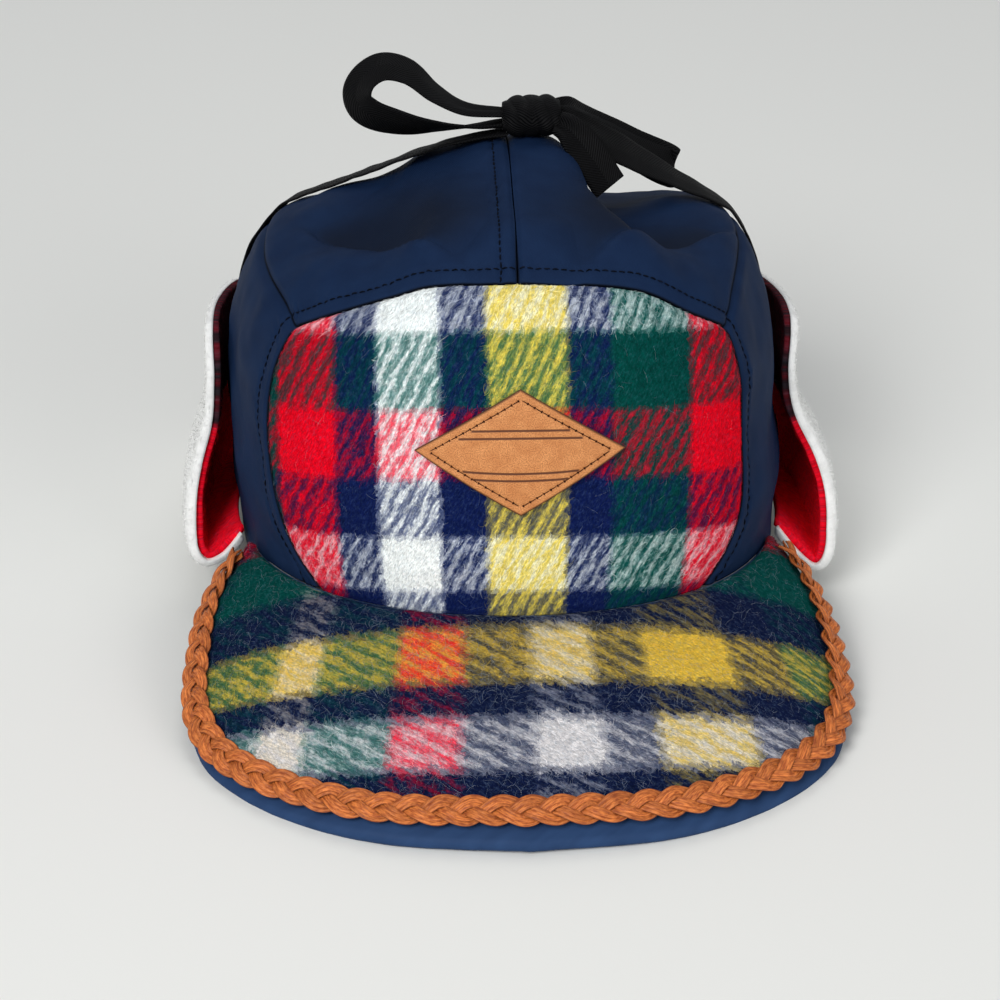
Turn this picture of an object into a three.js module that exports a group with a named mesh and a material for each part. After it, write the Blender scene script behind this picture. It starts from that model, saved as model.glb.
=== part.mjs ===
// Ear flap cap: a soft navy crown of five sewn panels with a wool front, a stiff visor trimmed
// with a leather braid, and two fleece-lined ear flaps tied up over the crown with a ribbon bow.
// Units are millimetres. The cap is drawn as worn, with its rim level at height 0, its front
// towards -Y and the wearer's left towards +X. It is then tipped back to rest on a table.
import * as THREE from 'three';

// Crown
const crownWidth = 164;
const crownLength = 198;
const crownHeight = 94;
const clothThickness = 2;
const ridgeHeight = 23;
const seamGap = 0.3;

// Leather patch
const patchWidth = 59;
const patchHeight = 35;
const patchThickness = 2;
const patchCentreHeight = 48.5;

// Visor
const visorReach = 59;
const visorHalfWidth = 94.5;
const visorDrop = 43;
const visorThickness = 4;
const visorArch = 2;
const coverThickness = 1.6;
const coverInset = 0.9;
const braidWidth = 9;
const braidThickness = 2.8;
const borderAtFront = 4.5;
const borderAtSides = 1.2;

// Ear flaps
const flapHeight = 62;
const flapStandoff = { left: 16, right: 14.5 };
const flapSag = { left: 3, right: -1.5 };
const flapBow = 2.4;
const flapBackLift = 10;
const shellThickness = 1.8;
const fleeceThickness = 3.2;
const fleeceOverhang = 1.5;

// Ribbon ties and bow
const tieAngle = { left: 100.5, right: 108 };
const ribbonWidth = 12;
const ribbonThickness = 1;
const knotLength = 17;
const knotDepth = 15;
const knotHeight = 12;
const knotOffset = 7;
const loopReach = 44;
const loopRise = 16;
const tailReach = 16;

// Where the cap presses on the table, its cloth is flattened by this much
const restFlattening = 0.8;

// Angles round the crown, in degrees from the centre front
const visorCornerAngle = 65;
const flapFrontAngle = 73;
const flapBackAngle = 128;

// The crown from the rim (share 0) to the middle of the top (share 1), along the cloth.
// Reaches are shares of half the crown's length or width, and rises are shares of its height.
const crownSections = [
  { share: 0.0, front: 1.0, side: 1.0, back: 1.0, frontUp: 0.0, sideUp: 0.0, backUp: 0.0 },
  { share: 0.12, front: 1.02, side: 1.03, back: 1.02, frontUp: 0.245, sideUp: 0.21, backUp: 0.22 },
  { share: 0.25, front: 1.01, side: 1.03, back: 1.0, frontUp: 0.51, sideUp: 0.46, backUp: 0.43 },
  { share: 0.37, front: 0.975, side: 0.985, back: 0.945, frontUp: 0.735, sideUp: 0.67, backUp: 0.6 },
  { share: 0.45, front: 0.915, side: 0.935, back: 0.87, frontUp: 0.875, sideUp: 0.81, backUp: 0.71 },
  { share: 0.52, front: 0.82, side: 0.865, back: 0.775, frontUp: 0.975, sideUp: 0.925, backUp: 0.795 },
  { share: 0.6, front: 0.68, side: 0.76, back: 0.65, frontUp: 1.035, sideUp: 0.99, backUp: 0.87 },
  { share: 0.7, front: 0.5, side: 0.6, back: 0.48, frontUp: 1.0, sideUp: 1.01, backUp: 0.935 },
  { share: 0.85, front: 0.25, side: 0.31, back: 0.235, frontUp: 0.99, sideUp: 0.995, backUp: 0.985 },
  { share: 1.0, front: 0.0, side: 0.0, back: 0.0, frontUp: 1.0, sideUp: 1.0, backUp: 1.0 },
];

// The fold that stands up along the middle of the top. y is a share of half the crown's length,
// height a share of the ridge's, left and right its widths as shares of the ridge's height, and
// steep how suddenly its right flank falls. The left flank falls as suddenly as its ends.
const ridgeSections = [
  { y: -0.95, height: 0.0, left: 1.95, right: 1.3, steep: 8 },
  { y: -0.83, height: 0.05, left: 1.9, right: 1.3, steep: 8 },
  { y: -0.66, height: 0.36, left: 1.8, right: 1.3, steep: 8 },
  { y: -0.5, height: 0.68, left: 1.55, right: 1.32, steep: 7 },
  { y: -0.3, height: 0.93, left: 1.25, right: 1.6, steep: 4.2 },
  { y: -0.12, height: 1.0, left: 1.05, right: 1.9, steep: 2.8 },
  { y: 0.0, height: 0.95, left: 1.0, right: 1.9, steep: 2.7 },
  { y: 0.2, height: 0.76, left: 1.0, right: 1.85, steep: 2.7 },
  { y: 0.42, height: 0.45, left: 1.0, right: 1.6, steep: 3 },
  { y: 0.62, height: 0.16, left: 1.0, right: 1.3, steep: 4 },
  { y: 0.8, height: 0.0, left: 1.0, right: 1.0, steep: 8 },
];

// Dents in the top. x and y are shares of half the width and half the length, and depth, across
// and along are shares of the crown's height.
const crownDents = [
  { x: -0.5, y: -0.34, across: 0.2, along: 0.26, depth: 0.045 },
  { x: 0.56, y: -0.34, across: 0.19, along: 0.26, depth: 0.05 },
  { x: -0.42, y: 0.35, across: 0.24, along: 0.3, depth: 0.03 },
  { x: 0.46, y: 0.4, across: 0.24, along: 0.3, depth: 0.025 },
];

// Where the wall swells out or sinks in on one side. out is a share of half the crown's width, and
// rise and over are shares of its height.
const crownSwells = [
  { side: -1, rise: 0.77, over: 0.18, out: 0.034 },
  { side: 1, rise: 0.45, over: 0.19, out: -0.046 },
];

// Seams of one half of the crown, as an angle from the front and a share up the cloth.
const frontPanelSide = [
  { share: 0.0, angle: 40 },
  { share: 0.045, angle: 45.5 },
  { share: 0.105, angle: 49.5 },
  { share: 0.18, angle: 51.5 },
  { share: 0.26, angle: 52 },
  { share: 0.34, angle: 51.2 },
  { share: 0.42, angle: 48.5 },
];
const frontPanelTop = [
  { share: 0.513, angle: 0 },
  { share: 0.506, angle: 13.5 },
  { share: 0.488, angle: 26 },
  { share: 0.452, angle: 38 },
  { share: 0.42, angle: 48.5 },
];
const shoulderSeam = [
  { share: 0.42, angle: 48.5 },
  { share: 0.478, angle: 57 },
  { share: 0.515, angle: 70 },
  { share: 0.53, angle: 88 },
  { share: 0.522, angle: 104 },
  { share: 0.49, angle: 118 },
];
const backSeam = [
  { share: 0.0, angle: 141 },
  { share: 0.2, angle: 138 },
  { share: 0.36, angle: 130 },
  { share: 0.49, angle: 118 },
];

// Outer edge of the visor from its middle (share 0) to its corner (share 1). x is a share of its
// half width, ahead a share of its reach in front of the rim, and drop a share of its drop.
const visorEdge = [
  { share: 0.0, x: 0.0, ahead: 1.0, drop: 1.0 },
  { share: 0.185, x: 0.365, ahead: 0.925, drop: 0.995 },
  { share: 0.3, x: 0.585, ahead: 0.795, drop: 0.98 },
  { share: 0.42, x: 0.785, ahead: 0.583, drop: 0.945 },
  { share: 0.52, x: 0.92, ahead: 0.34, drop: 0.89 },
  { share: 0.61, x: 0.985, ahead: 0.09, drop: 0.795 },
  { share: 0.675, x: 1.0, ahead: -0.115, drop: 0.695 },
  { share: 0.755, x: 0.995, ahead: -0.355, drop: 0.56 },
  { share: 0.83, x: 0.98, ahead: -0.595, drop: 0.435 },
  { share: 0.92, x: 0.925, ahead: -0.86, drop: 0.26 },
  { share: 1.0, x: 0.835, ahead: -0.985, drop: 0.085 },
];

// An ear flap from its seam at the rim (share 0) to its tip (share 1). up is a share of the
// flap's height, off a share of its stand-off from the crown, wide a share of its full spread.
const flapSections = [
  { share: 0.0, up: 0.015, off: 0.0, wide: 1.0 },
  { share: 0.06, up: -0.09, off: 0.46, wide: 1.0 },
  { share: 0.14, up: -0.125, off: 0.88, wide: 1.0 },
  { share: 0.24, up: -0.03, off: 1.08, wide: 0.99 },
  { share: 0.36, up: 0.15, off: 0.95, wide: 0.96 },
  { share: 0.5, up: 0.36, off: 0.64, wide: 0.91 },
  { share: 0.65, up: 0.56, off: 0.29, wide: 0.84 },
  { share: 0.8, up: 0.76, off: 0.21, wide: 0.74 },
  { share: 0.92, up: 0.92, off: 0.27, wide: 0.62 },
  { share: 1.0, up: 1.0, off: 0.29, wide: 0.54 },
];

// The standing loop of the bow, as shares of its reach and rise, from its lower root to its upper
// root. turn is the ribbon's twist about its run, in degrees, and wide its share of full width.
const standingLoop = [
  { out: 0.0, up: -0.14, turn: 0, wide: 0.7 },
  { out: 0.2, up: -0.18, turn: 8, wide: 0.85 },
  { out: 0.48, up: -0.2, turn: 26, wide: 1 },
  { out: 0.76, up: -0.1, turn: 48, wide: 1 },
  { out: 0.95, up: 0.12, turn: 54, wide: 1 },
  { out: 1.0, up: 0.42, turn: 44, wide: 1 },
  { out: 0.95, up: 0.74, turn: 34, wide: 1 },
  { out: 0.82, up: 0.94, turn: 30, wide: 1 },
  { out: 0.66, up: 0.86, turn: 26, wide: 1 },
  { out: 0.48, up: 0.46, turn: 16, wide: 1 },
  { out: 0.26, up: 0.14, turn: 8, wide: 0.85 },
  { out: 0.0, up: 0.06, turn: 0, wide: 0.7 },
];

// The fallen loop of the bow, as shares of the same reach, and the tail that shows, as shares of
// its own. Both start beside each other at the knot, with their edges upright at turn 0.
const fallenLoop = [
  { out: 0.0, back: 0.03, up: -0.03, turn: -30, wide: 0.7 },
  { out: 0.12, back: 0.07, up: -0.06, turn: -30, wide: 0.85 },
  { out: 0.36, back: 0.29, up: -0.22, turn: -30, wide: 1 },
  { out: 0.62, back: 0.49, up: -0.39, turn: -28, wide: 1 },
  { out: 0.81, back: 0.61, up: -0.5, turn: -16, wide: 1 },
  { out: 0.86, back: 0.67, up: -0.52, turn: 0, wide: 1 },
  { out: 0.8, back: 0.7, up: -0.48, turn: 16, wide: 1 },
  { out: 0.58, back: 0.59, up: -0.35, turn: 26, wide: 1 },
  { out: 0.32, back: 0.41, up: -0.18, turn: 30, wide: 1 },
  { out: 0.11, back: 0.17, up: -0.02, turn: 30, wide: 0.85 },
  { out: 0.0, back: 0.1, up: 0.0, turn: 30, wide: 0.7 },
];
const frontTail = [
  { out: 0.0, back: 0.0, up: -0.05, turn: -28, wide: 0.6 },
  { out: 0.2, back: -0.03, up: -0.16, turn: -32, wide: 0.75 },
  { out: 0.45, back: -0.06, up: -0.45, turn: -36, wide: 0.95 },
  { out: 0.72, back: -0.1, up: -0.84, turn: -38, wide: 1 },
  { out: 0.98, back: -0.12, up: -1.25, turn: -38, wide: 1 },
];

// The tail behind the knot lies along the ridge. back is a share of half the crown's length
// and lift a share of the knot's height.
const backTail = [
  { back: 0.015, lift: 0.24, wide: 0.7 },
  { back: 0.07, lift: 0.2, wide: 0.85 },
  { back: 0.16, lift: 0.16, wide: 1 },
  { back: 0.26, lift: 0.14, wide: 1 },
  { back: 0.36, lift: 0.16, wide: 1 },
];

// How finely each piece is drawn
const frontColumns = 20;
const sideRows = 12;
const shoulderColumns = 14;
const backRows = 12;
const topColumns = 14;
const visorColumns = 36;
const visorRows = 5;
const braidSteps = 48;
const flapColumns = 10;
const flapRows = 14;
const patchCells = 8;

const colours = {
  navy: 0x1b2a4a,
  wool: 0x27405a,
  redWool: 0xb01c2c,
  fleece: 0xf1f1ee,
  leather: 0xb5683a,
  patch: 0xc98850,
  ribbon: 0x17171a,
};

const radians = THREE.MathUtils.degToRad;
const up = new THREE.Vector3(0, 0, 1);
const backwards = new THREE.Vector3(0, 1, 0);
const sideways = new THREE.Vector3(1, 0, 0);
const halfWidth = crownWidth / 2;
const halfLength = crownLength / 2;

// One column of a table at any share of the way, on a smooth curve through its rows.
function along(rows, column, share, key = 'share') {
  const last = rows.length - 1;
  let i = 0;
  while (i < last - 1 && share > rows[i + 1][key]) i++;
  const slope = (k) => {
    const before = rows[Math.max(k - 1, 0)];
    const after = rows[Math.min(k + 1, last)];
    return (after[column] - before[column]) / (after[key] - before[key]);
  };
  const step = rows[i + 1][key] - rows[i][key];
  const t = THREE.MathUtils.clamp((share - rows[i][key]) / step, 0, 1);
  const t2 = t * t;
  const t3 = t2 * t;
  return (
    (2 * t3 - 3 * t2 + 1) * rows[i][column] +
    (t3 - 2 * t2 + t) * step * slope(i) +
    (3 * t2 - 2 * t3) * rows[i + 1][column] +
    (t3 - t2) * step * slope(i + 1)
  );
}

// A table row's place by its number, for tables that are walked evenly.
function numbered(rows) {
  return rows.map((row, i) => ({ ...row, step: i / (rows.length - 1) }));
}

// The crown is laid out on a disc: its middle is the middle of the top, and its edge the rim.
function discPoint(angle, share) {
  const a = radians(angle);
  return new THREE.Vector2(Math.sin(a), -Math.cos(a)).multiplyScalar(1 - share);
}

function crownPoint(disc) {
  const share = 1 - Math.min(disc.length(), 1.1);
  const angle = Math.atan2(disc.x, -disc.y);
  const ahead = Math.cos(angle);
  const aside = Math.sin(angle);
  const reach = (column) => along(crownSections, column, share);
  const fullness = 1 + 0.03 * Math.sin(2 * angle) ** 2 * Math.min(1, 4 * disc.length());
  const x = halfWidth * reach('side') * aside * fullness;
  const lengthReach = (reach('front') * (1 + ahead) + reach('back') * (1 - ahead)) / 2;
  const y = -halfLength * lengthReach * ahead * fullness;
  const endUp = ahead > 0 ? reach('frontUp') : reach('backUp');
  let z = crownHeight * (ahead ** 2 * endUp + aside ** 2 * reach('sideUp'));
  z += ridgeHeight * ridgeShape(x, y);
  for (const dent of crownDents) {
    const across = (x - dent.x * halfWidth) / (dent.across * crownHeight);
    const lengthways = (y - dent.y * halfLength) / (dent.along * crownHeight);
    z -= dent.depth * crownHeight * Math.exp(-(across ** 2) - lengthways ** 2);
  }
  let outwardsBy = 0;
  for (const swell of crownSwells) {
    if (x * swell.side <= 0) continue;
    const rise = (z / crownHeight - swell.rise) / swell.over;
    outwardsBy += (swell.side * swell.out * x ** 2 * Math.exp(-(rise ** 2))) / halfWidth;
  }
  return new THREE.Vector3(x + outwardsBy, y, z);
}

// The ridge is gently rounded on top with steep flanks.
function ridgeShape(x, y) {
  const place = THREE.MathUtils.clamp(y / halfLength, -0.95, 0.8);
  const width = ridgeHeight * along(ridgeSections, x > 0 ? 'left' : 'right', place, 'y');
  const across = Math.abs(x) / width;
  const steep = x > 0 ? 8 : along(ridgeSections, 'steep', place, 'y');
  const crest = (1 - 0.18 * Math.min(across, 1) ** 2) * Math.exp(-(across ** steep));
  return along(ridgeSections, 'height', place, 'y') * crest;
}

function crownNormal(disc) {
  const small = 0.004;
  const pull = Math.min(1, (1 - small) / Math.max(disc.length(), small));
  const d = disc.clone().multiplyScalar(pull);
  const right = crownPoint(new THREE.Vector2(d.x + small, d.y));
  const left = crownPoint(new THREE.Vector2(d.x - small, d.y));
  const back = crownPoint(new THREE.Vector2(d.x, d.y + small));
  const front = crownPoint(new THREE.Vector2(d.x, d.y - small));
  return right.sub(left).cross(back.sub(front)).normalize();
}

// The crown's outside at an angle round it and a height above the rim.
function wallAt(angle, height) {
  let low = 0;
  let high = 0.66;
  for (let i = 0; i < 30; i++) {
    const middle = (low + high) / 2;
    if (crownPoint(discPoint(angle, middle)).z < height) low = middle;
    else high = middle;
  }
  return discPoint(angle, low);
}

// A point lifted off the crown along its normal.
function offCrown(disc, lift) {
  return crownPoint(disc).addScaledVector(crownNormal(disc), lift);
}

// The level outward direction at an angle round the rim.
function outwards(angle) {
  const a = radians(angle);
  return new THREE.Vector3(Math.sin(a) / halfWidth, -Math.cos(a) / halfLength, 0).normalize();
}

// The cloth is flattened where it would go below the table that it rests on.
const frontRest = { y: -halfLength - visorReach, z: -visorDrop - visorThickness };
const backRest = { y: halfLength, z: 0 };
const restTilt = Math.atan2(backRest.z - frontRest.z, backRest.y - frontRest.y);
function settle(point) {
  const table = frontRest.z + restFlattening + (point.y - frontRest.y) * Math.tan(restTilt);
  return point.clone().setZ(Math.max(point.z, table));
}

// A closed body between two faces, each a grid of points with the same rows and columns.
// The first face is the outer one, seen with its rows going right and its columns going up.
function shell(outer, inner) {
  const rows = outer.length;
  const columns = outer[0].length;
  const points = [...outer.flat(), ...inner.flat()].map(settle);
  const faces = [];
  // Both faces are cut along the same diagonals, so that layers keep their distance
  const quad = (a, b, c, d) => faces.push(a, b, c, a, c, d);
  const at = (i, j) => i * columns + j;
  const under = rows * columns;
  for (let i = 0; i < rows - 1; i++) {
    for (let j = 0; j < columns - 1; j++) {
      quad(at(i, j), at(i + 1, j), at(i + 1, j + 1), at(i, j + 1));
      const [a, b, c] = [at(i, j), at(i, j + 1), at(i + 1, j + 1)].map((corner) => under + corner);
      quad(a, b, c, under + at(i + 1, j));
    }
  }
  for (let i = 0; i < rows - 1; i++) {
    quad(at(i, 0), under + at(i, 0), under + at(i + 1, 0), at(i + 1, 0));
    const j = columns - 1;
    quad(at(i, j), at(i + 1, j), under + at(i + 1, j), under + at(i, j));
  }
  for (let j = 0; j < columns - 1; j++) {
    quad(at(0, j), at(0, j + 1), under + at(0, j + 1), under + at(0, j));
    const i = rows - 1;
    quad(at(i, j), under + at(i, j), under + at(i, j + 1), at(i, j + 1));
  }
  return closedGeometry(points, faces);
}

// A closed body through rings of points, with a flat cap on each end.
function loft(rings) {
  const count = rings[0].length;
  const points = rings.flat().map(settle);
  const faces = [];
  for (let i = 0; i < rings.length - 1; i++) {
    for (let j = 0; j < count; j++) {
      const next = (j + 1) % count;
      const a = i * count + j;
      const b = i * count + next;
      faces.push(a, b, b + count, a, b + count, a + count);
    }
  }
  const lastRing = (rings.length - 1) * count;
  for (let j = 1; j < count - 1; j++) {
    faces.push(0, j + 1, j, lastRing, lastRing + j, lastRing + j + 1);
  }
  return closedGeometry(points, faces);
}

function closedGeometry(points, faces) {
  const geometry = new THREE.BufferGeometry().setFromPoints(points);
  geometry.setIndex(faces);
  // The faces are turned round together if the body came out inside out
  let volume = 0;
  for (let i = 0; i < faces.length; i += 3) {
    const [a, b, c] = [points[faces[i]], points[faces[i + 1]], points[faces[i + 2]]];
    volume += a.dot(b.clone().cross(c));
  }
  if (volume < 0) {
    for (let i = 0; i < faces.length; i += 3) {
      [faces[i + 1], faces[i + 2]] = [faces[i + 2], faces[i + 1]];
    }
    geometry.setIndex(faces);
  }
  const flat = geometry.toNonIndexed();
  flat.computeVertexNormals();
  return flat;
}

function piece(name, geometry, colour, roughness = 0.85) {
  const material = new THREE.MeshStandardMaterial({ color: colour, roughness, metalness: 0 });
  const mesh = new THREE.Mesh(geometry, material);
  mesh.name = name;
  return mesh;
}

const evenly = (count) => Array.from({ length: count + 1 }, (_, i) => i / count);

// Points of a seam table on the disc, evenly stepped. side is 1 for the wearer's left.
function seamPoints(rows, steps, side) {
  const walk = numbered(rows);
  return evenly(steps).map((t) => {
    const point = discPoint(along(walk, 'angle', t, 'step'), along(walk, 'share', t, 'step'));
    return new THREE.Vector2(point.x * side, point.y);
  });
}

// A panel of the crown, spread smoothly between its four seams on the disc.
function crownPanel(bottom, top, start, end) {
  const rows = bottom.length - 1;
  const columns = start.length - 1;
  const grid = evenly(rows).map((s, i) =>
    evenly(columns).map((t, j) => {
      const across = start[j].clone().lerp(end[j], s);
      const upwards = bottom[i].clone().lerp(top[i], t);
      const low = bottom[0].clone().lerp(bottom[rows], s);
      const high = top[0].clone().lerp(top[rows], s);
      return across.add(upwards).sub(low.lerp(high, t));
    }),
  );
  // Each edge stops half a seam gap short of the seam
  const inset = seamGap / 2;
  const points = grid.map((line) => line.map((disc) => crownPoint(disc)));
  const inwards = (i, j) => {
    const shift = new THREE.Vector3();
    const here = points[i][j];
    const pull = (other) => shift.add(other.clone().sub(here).setLength(inset));
    if (i === 0) pull(points[1][j]);
    if (i === rows) pull(points[rows - 1][j]);
    if (j === 0 && !onRim(grid[i][j])) pull(points[i][1]);
    if (j === columns && !onRim(grid[i][j])) pull(points[i][columns - 1]);
    return shift;
  };
  const lifted = (lift) =>
    grid.map((line, i) =>
      line.map((disc, j) => {
        const normal = crownNormal(disc);
        if (onRim(disc)) normal.setZ(0).normalize();
        return points[i][j].clone().add(inwards(i, j)).addScaledVector(normal, lift);
      }),
    );
  return shell(lifted(0), lifted(-clothThickness));
}

const onRim = (disc) => disc.length() > 0.9999;

const rimPoints = (fromAngle, toAngle, steps, side) =>
  evenly(steps).map((t) => {
    const point = discPoint(THREE.MathUtils.lerp(fromAngle, toAngle, t), 0);
    return new THREE.Vector2(point.x * side, point.y);
  });

const lastOf = (rows) => rows[rows.length - 1];

function crown() {
  const group = new THREE.Group();
  const rimFront = frontPanelSide[0].angle;
  const rimBack = backSeam[0].angle;
  const front = crownPanel(
    rimPoints(-rimFront, rimFront, frontColumns, 1),
    [
      ...seamPoints(frontPanelTop, frontColumns / 2, -1).reverse(),
      ...seamPoints(frontPanelTop, frontColumns / 2, 1).slice(1),
    ],
    seamPoints(frontPanelSide, sideRows, -1),
    seamPoints(frontPanelSide, sideRows, 1),
  );
  group.add(piece('front_panel', front, colours.wool, 0.95));
  for (const [word, side] of [['left', 1], ['right', -1]]) {
    const sidePanel = crownPanel(
      rimPoints(rimFront, rimBack, shoulderColumns, side),
      seamPoints(shoulderSeam, shoulderColumns, side),
      seamPoints(frontPanelSide, sideRows, side),
      seamPoints(backSeam, sideRows, side),
    );
    group.add(piece(`side_panel_${word}`, sidePanel, colours.navy, 0.6));

    // A top panel runs from the front seam over the top to the back of the rim
    const outerEdge = [
      ...seamPoints(shoulderSeam, shoulderColumns, side),
      ...seamPoints(backSeam, backRows, side).reverse().slice(1),
    ];
    const centreFront = discPoint(0, frontPanelTop[0].share);
    const centreBack = discPoint(180, 0);
    const centreEdge = outerEdge.map((_, i) =>
      centreFront.clone().lerp(centreBack, i / (outerEdge.length - 1)),
    );
    const frontEdge = seamPoints(frontPanelTop, topColumns, side);
    const backEdge = rimPoints(180, lastOf([...backSeam].reverse()).angle, topColumns, side);
    group.add(piece(`top_panel_${word}`, crownPanel(frontEdge, backEdge, centreEdge, outerEdge),
      colours.navy, 0.6));
  }
  return group;
}

// The point of the crown's front at a distance aside and a height.
function frontPoint(x, height) {
  let low = -60;
  let high = 60;
  for (let i = 0; i < 30; i++) {
    const middle = (low + high) / 2;
    if (crownPoint(wallAt(middle, height)).x < x) low = middle;
    else high = middle;
  }
  return wallAt(low, height);
}

function leatherPatch() {
  // The front of an oval is a round of this radius, which the patch is bent to
  const bend = halfWidth ** 2 / halfLength;
  const places = evenly(patchCells).map((i) =>
    evenly(patchCells).map((j) => {
      const x = bend * Math.sin(((i + j - 1) * patchWidth) / 2 / bend);
      return frontPoint(x, patchCentreHeight + ((j - i) * patchHeight) / 2);
    }),
  );
  const lifted = (lift) => places.map((line) => line.map((disc) => offCrown(disc, lift)));
  const geometry = shell(lifted(seamGap + patchThickness), lifted(seamGap));
  return piece('leather_patch', geometry, colours.patch, 0.6);
}

// The visor's surface, from its seam at the rim (depth 0) to its outer edge (depth 1).
// share runs from -1 at the wearer's right corner to 1 at the left.
function visorInner(share) {
  const angle = share * visorCornerAngle;
  return crownPoint(discPoint(angle, 0)).addScaledVector(outwards(angle), seamGap);
}

function visorOuter(share) {
  const s = Math.abs(share);
  const value = (column) => along(visorEdge, column, s);
  const y = -halfLength - visorReach * value('ahead');
  return new THREE.Vector3(visorHalfWidth * value('x') * Math.sign(share), y, -visorDrop * value('drop'));
}

function visorPoint(share, depth) {
  const point = visorInner(share).lerp(visorOuter(share), depth);
  return point.addScaledVector(up, visorArch * Math.sin(Math.PI * depth));
}

function visorNormal(share, depth) {
  const small = 0.01;
  const s = THREE.MathUtils.clamp(share, small - 1, 1 - small);
  const d = THREE.MathUtils.clamp(depth, small, 1 - small);
  const acrossRun = visorPoint(s + small, d).sub(visorPoint(s - small, d));
  const outRun = visorPoint(s, d + small).sub(visorPoint(s, d - small));
  return outRun.cross(acrossRun).normalize();
}

// How far the braid lies inside the visor's edge.
function visorBorder(share) {
  return THREE.MathUtils.lerp(borderAtFront, borderAtSides, Math.min(1, Math.abs(share) * 1.5));
}

function visorLength(share) {
  return visorInner(share).distanceTo(visorOuter(share));
}

const visorShares = evenly(visorColumns).map((t) => 2 * t - 1);

function visorBody() {
  // The board and its cloth: full thickness inside, rounded off at the outer edge
  const profile = [
    { depth: 0.0, top: 0, bottom: 1 },
    { depth: 0.25, top: 0, bottom: 1 },
    { depth: 0.5, top: 0, bottom: 1 },
    { depth: 0.75, top: 0, bottom: 1 },
    { depth: 0.96, top: 0, bottom: 1 },
    { depth: 1.0, top: 0.25, bottom: 0.75 },
  ];
  const face = (key) =>
    visorShares.map((share) =>
      profile.map((row) => {
        const normal = visorNormal(share, row.depth);
        return visorPoint(share, row.depth).addScaledVector(normal, -row[key] * visorThickness);
      }),
    );
  return piece('visor', shell(face('bottom'), face('top')), colours.navy, 0.6);
}

function visorCover() {
  const face = (lift) =>
    visorShares.map((share) =>
      evenly(visorRows).map((t) => {
        const start = coverInset / visorLength(share);
        const end = 1 - Math.min(0.4, visorBorder(share) / visorLength(share));
        const depth = THREE.MathUtils.lerp(start, end, t);
        return visorPoint(share, depth).addScaledVector(visorNormal(share, depth), lift);
      }),
    );
  const geometry = shell(face(seamGap), face(seamGap + coverThickness));
  return piece('visor_cover', geometry, colours.wool, 0.95);
}

function visorBraid() {
  // The braid stops where the visor has become too narrow to carry it
  let end = 1;
  while (visorLength(end) < braidWidth + 2 * borderAtSides) end -= 0.005;
  const lift = 2.3 * seamGap + coverThickness;
  const rings = evenly(braidSteps).map((t) => {
    const share = (2 * t - 1) * end;
    const depth = 1 - (visorBorder(share) + braidWidth / 2) / visorLength(share);
    const centre = visorPoint(share, depth);
    const normal = visorNormal(share, depth);
    const run = visorPoint(share + 0.01, depth).sub(visorPoint(share - 0.01, depth)).normalize();
    const across = new THREE.Vector3().crossVectors(normal, run).normalize();
    const place = (a, n) =>
      centre
        .clone()
        .addScaledVector(across, (a * braidWidth) / 2)
        .addScaledVector(normal, lift + n * braidThickness);
    return [place(-0.8, 0), place(0.8, 0), place(1, 0.4), place(0.55, 1), place(0, 0.85),
      place(-0.55, 1), place(-1, 0.4)];
  });
  return piece('visor_braid', loft(rings), colours.leather, 0.6);
}

// The middle layer of an ear flap, between its wool shell and its fleece.
// spread runs from -0.5 at the front edge to 0.5 at the back, share from the rim to the tip.
function flapPoint(side, spread, share) {
  const row = (column) => along(flapSections, column, share);
  const standoff = side > 0 ? flapStandoff.left : flapStandoff.right;
  const tipRound = 1 - 0.03 * (2 * spread) ** 4 * share;
  const backLift = flapBackLift * (spread + 0.5) * (1 - row('up')) * Math.min(1, share / 0.06);
  const middle = (flapFrontAngle + flapBackAngle) / 2;
  const angle = side * (middle + spread * row('wide') * (flapBackAngle - flapFrontAngle));
  // The fold hangs lower on one side than on the other
  const sag = (side > 0 ? flapSag.left : flapSag.right) * Math.exp(-(((share - 0.16) / 0.1) ** 2));
  const height = flapHeight * row('up') * tipRound + backLift - sag;
  const seat = 2 * seamGap + shellThickness;
  const wall = crownPoint(height > 0 ? wallAt(angle, height) : discPoint(angle, 0));
  // The flap is flatter than the crown, so it comes nearer to it in its middle
  const bow = flapBow * (1 - 4 * spread ** 2) * 6.4 * share * (1 - share) ** 2;
  const off = seat + (standoff - seat) * row('off') - bow;
  return wall.setZ(height).addScaledVector(outwards(angle), off);
}

function flapNormal(side, spread, share) {
  const small = 0.01;
  const s = THREE.MathUtils.clamp(share, small, 1 - small);
  const forwards = flapPoint(side, spread - small, s).sub(flapPoint(side, spread + small, s));
  const upwards = flapPoint(side, spread, s + small).sub(flapPoint(side, spread, s - small));
  return upwards.cross(forwards).normalize().multiplyScalar(side);
}

// One layer of a flap. inside and outside give its two faces' distances from the middle layer.
function flapLayer(side, insideAt, outsideAt, overhang) {
  const flapSpan = flapPoint(1, -0.5, 0.4).distanceTo(flapPoint(1, 0.5, 0.4));
  const reach = 1 + (2 * overhang) / flapSpan;
  const face = (distance) =>
    evenly(flapColumns).map((a) =>
      evenly(flapRows).map((b) => {
        const spread = (a - 0.5) * reach;
        const share = b;
        const point = flapPoint(side, spread, share);
        return point.addScaledVector(flapNormal(side, spread, share), distance(a, b));
      }),
    );
  return shell(face(outsideAt), face(insideAt));
}

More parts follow.
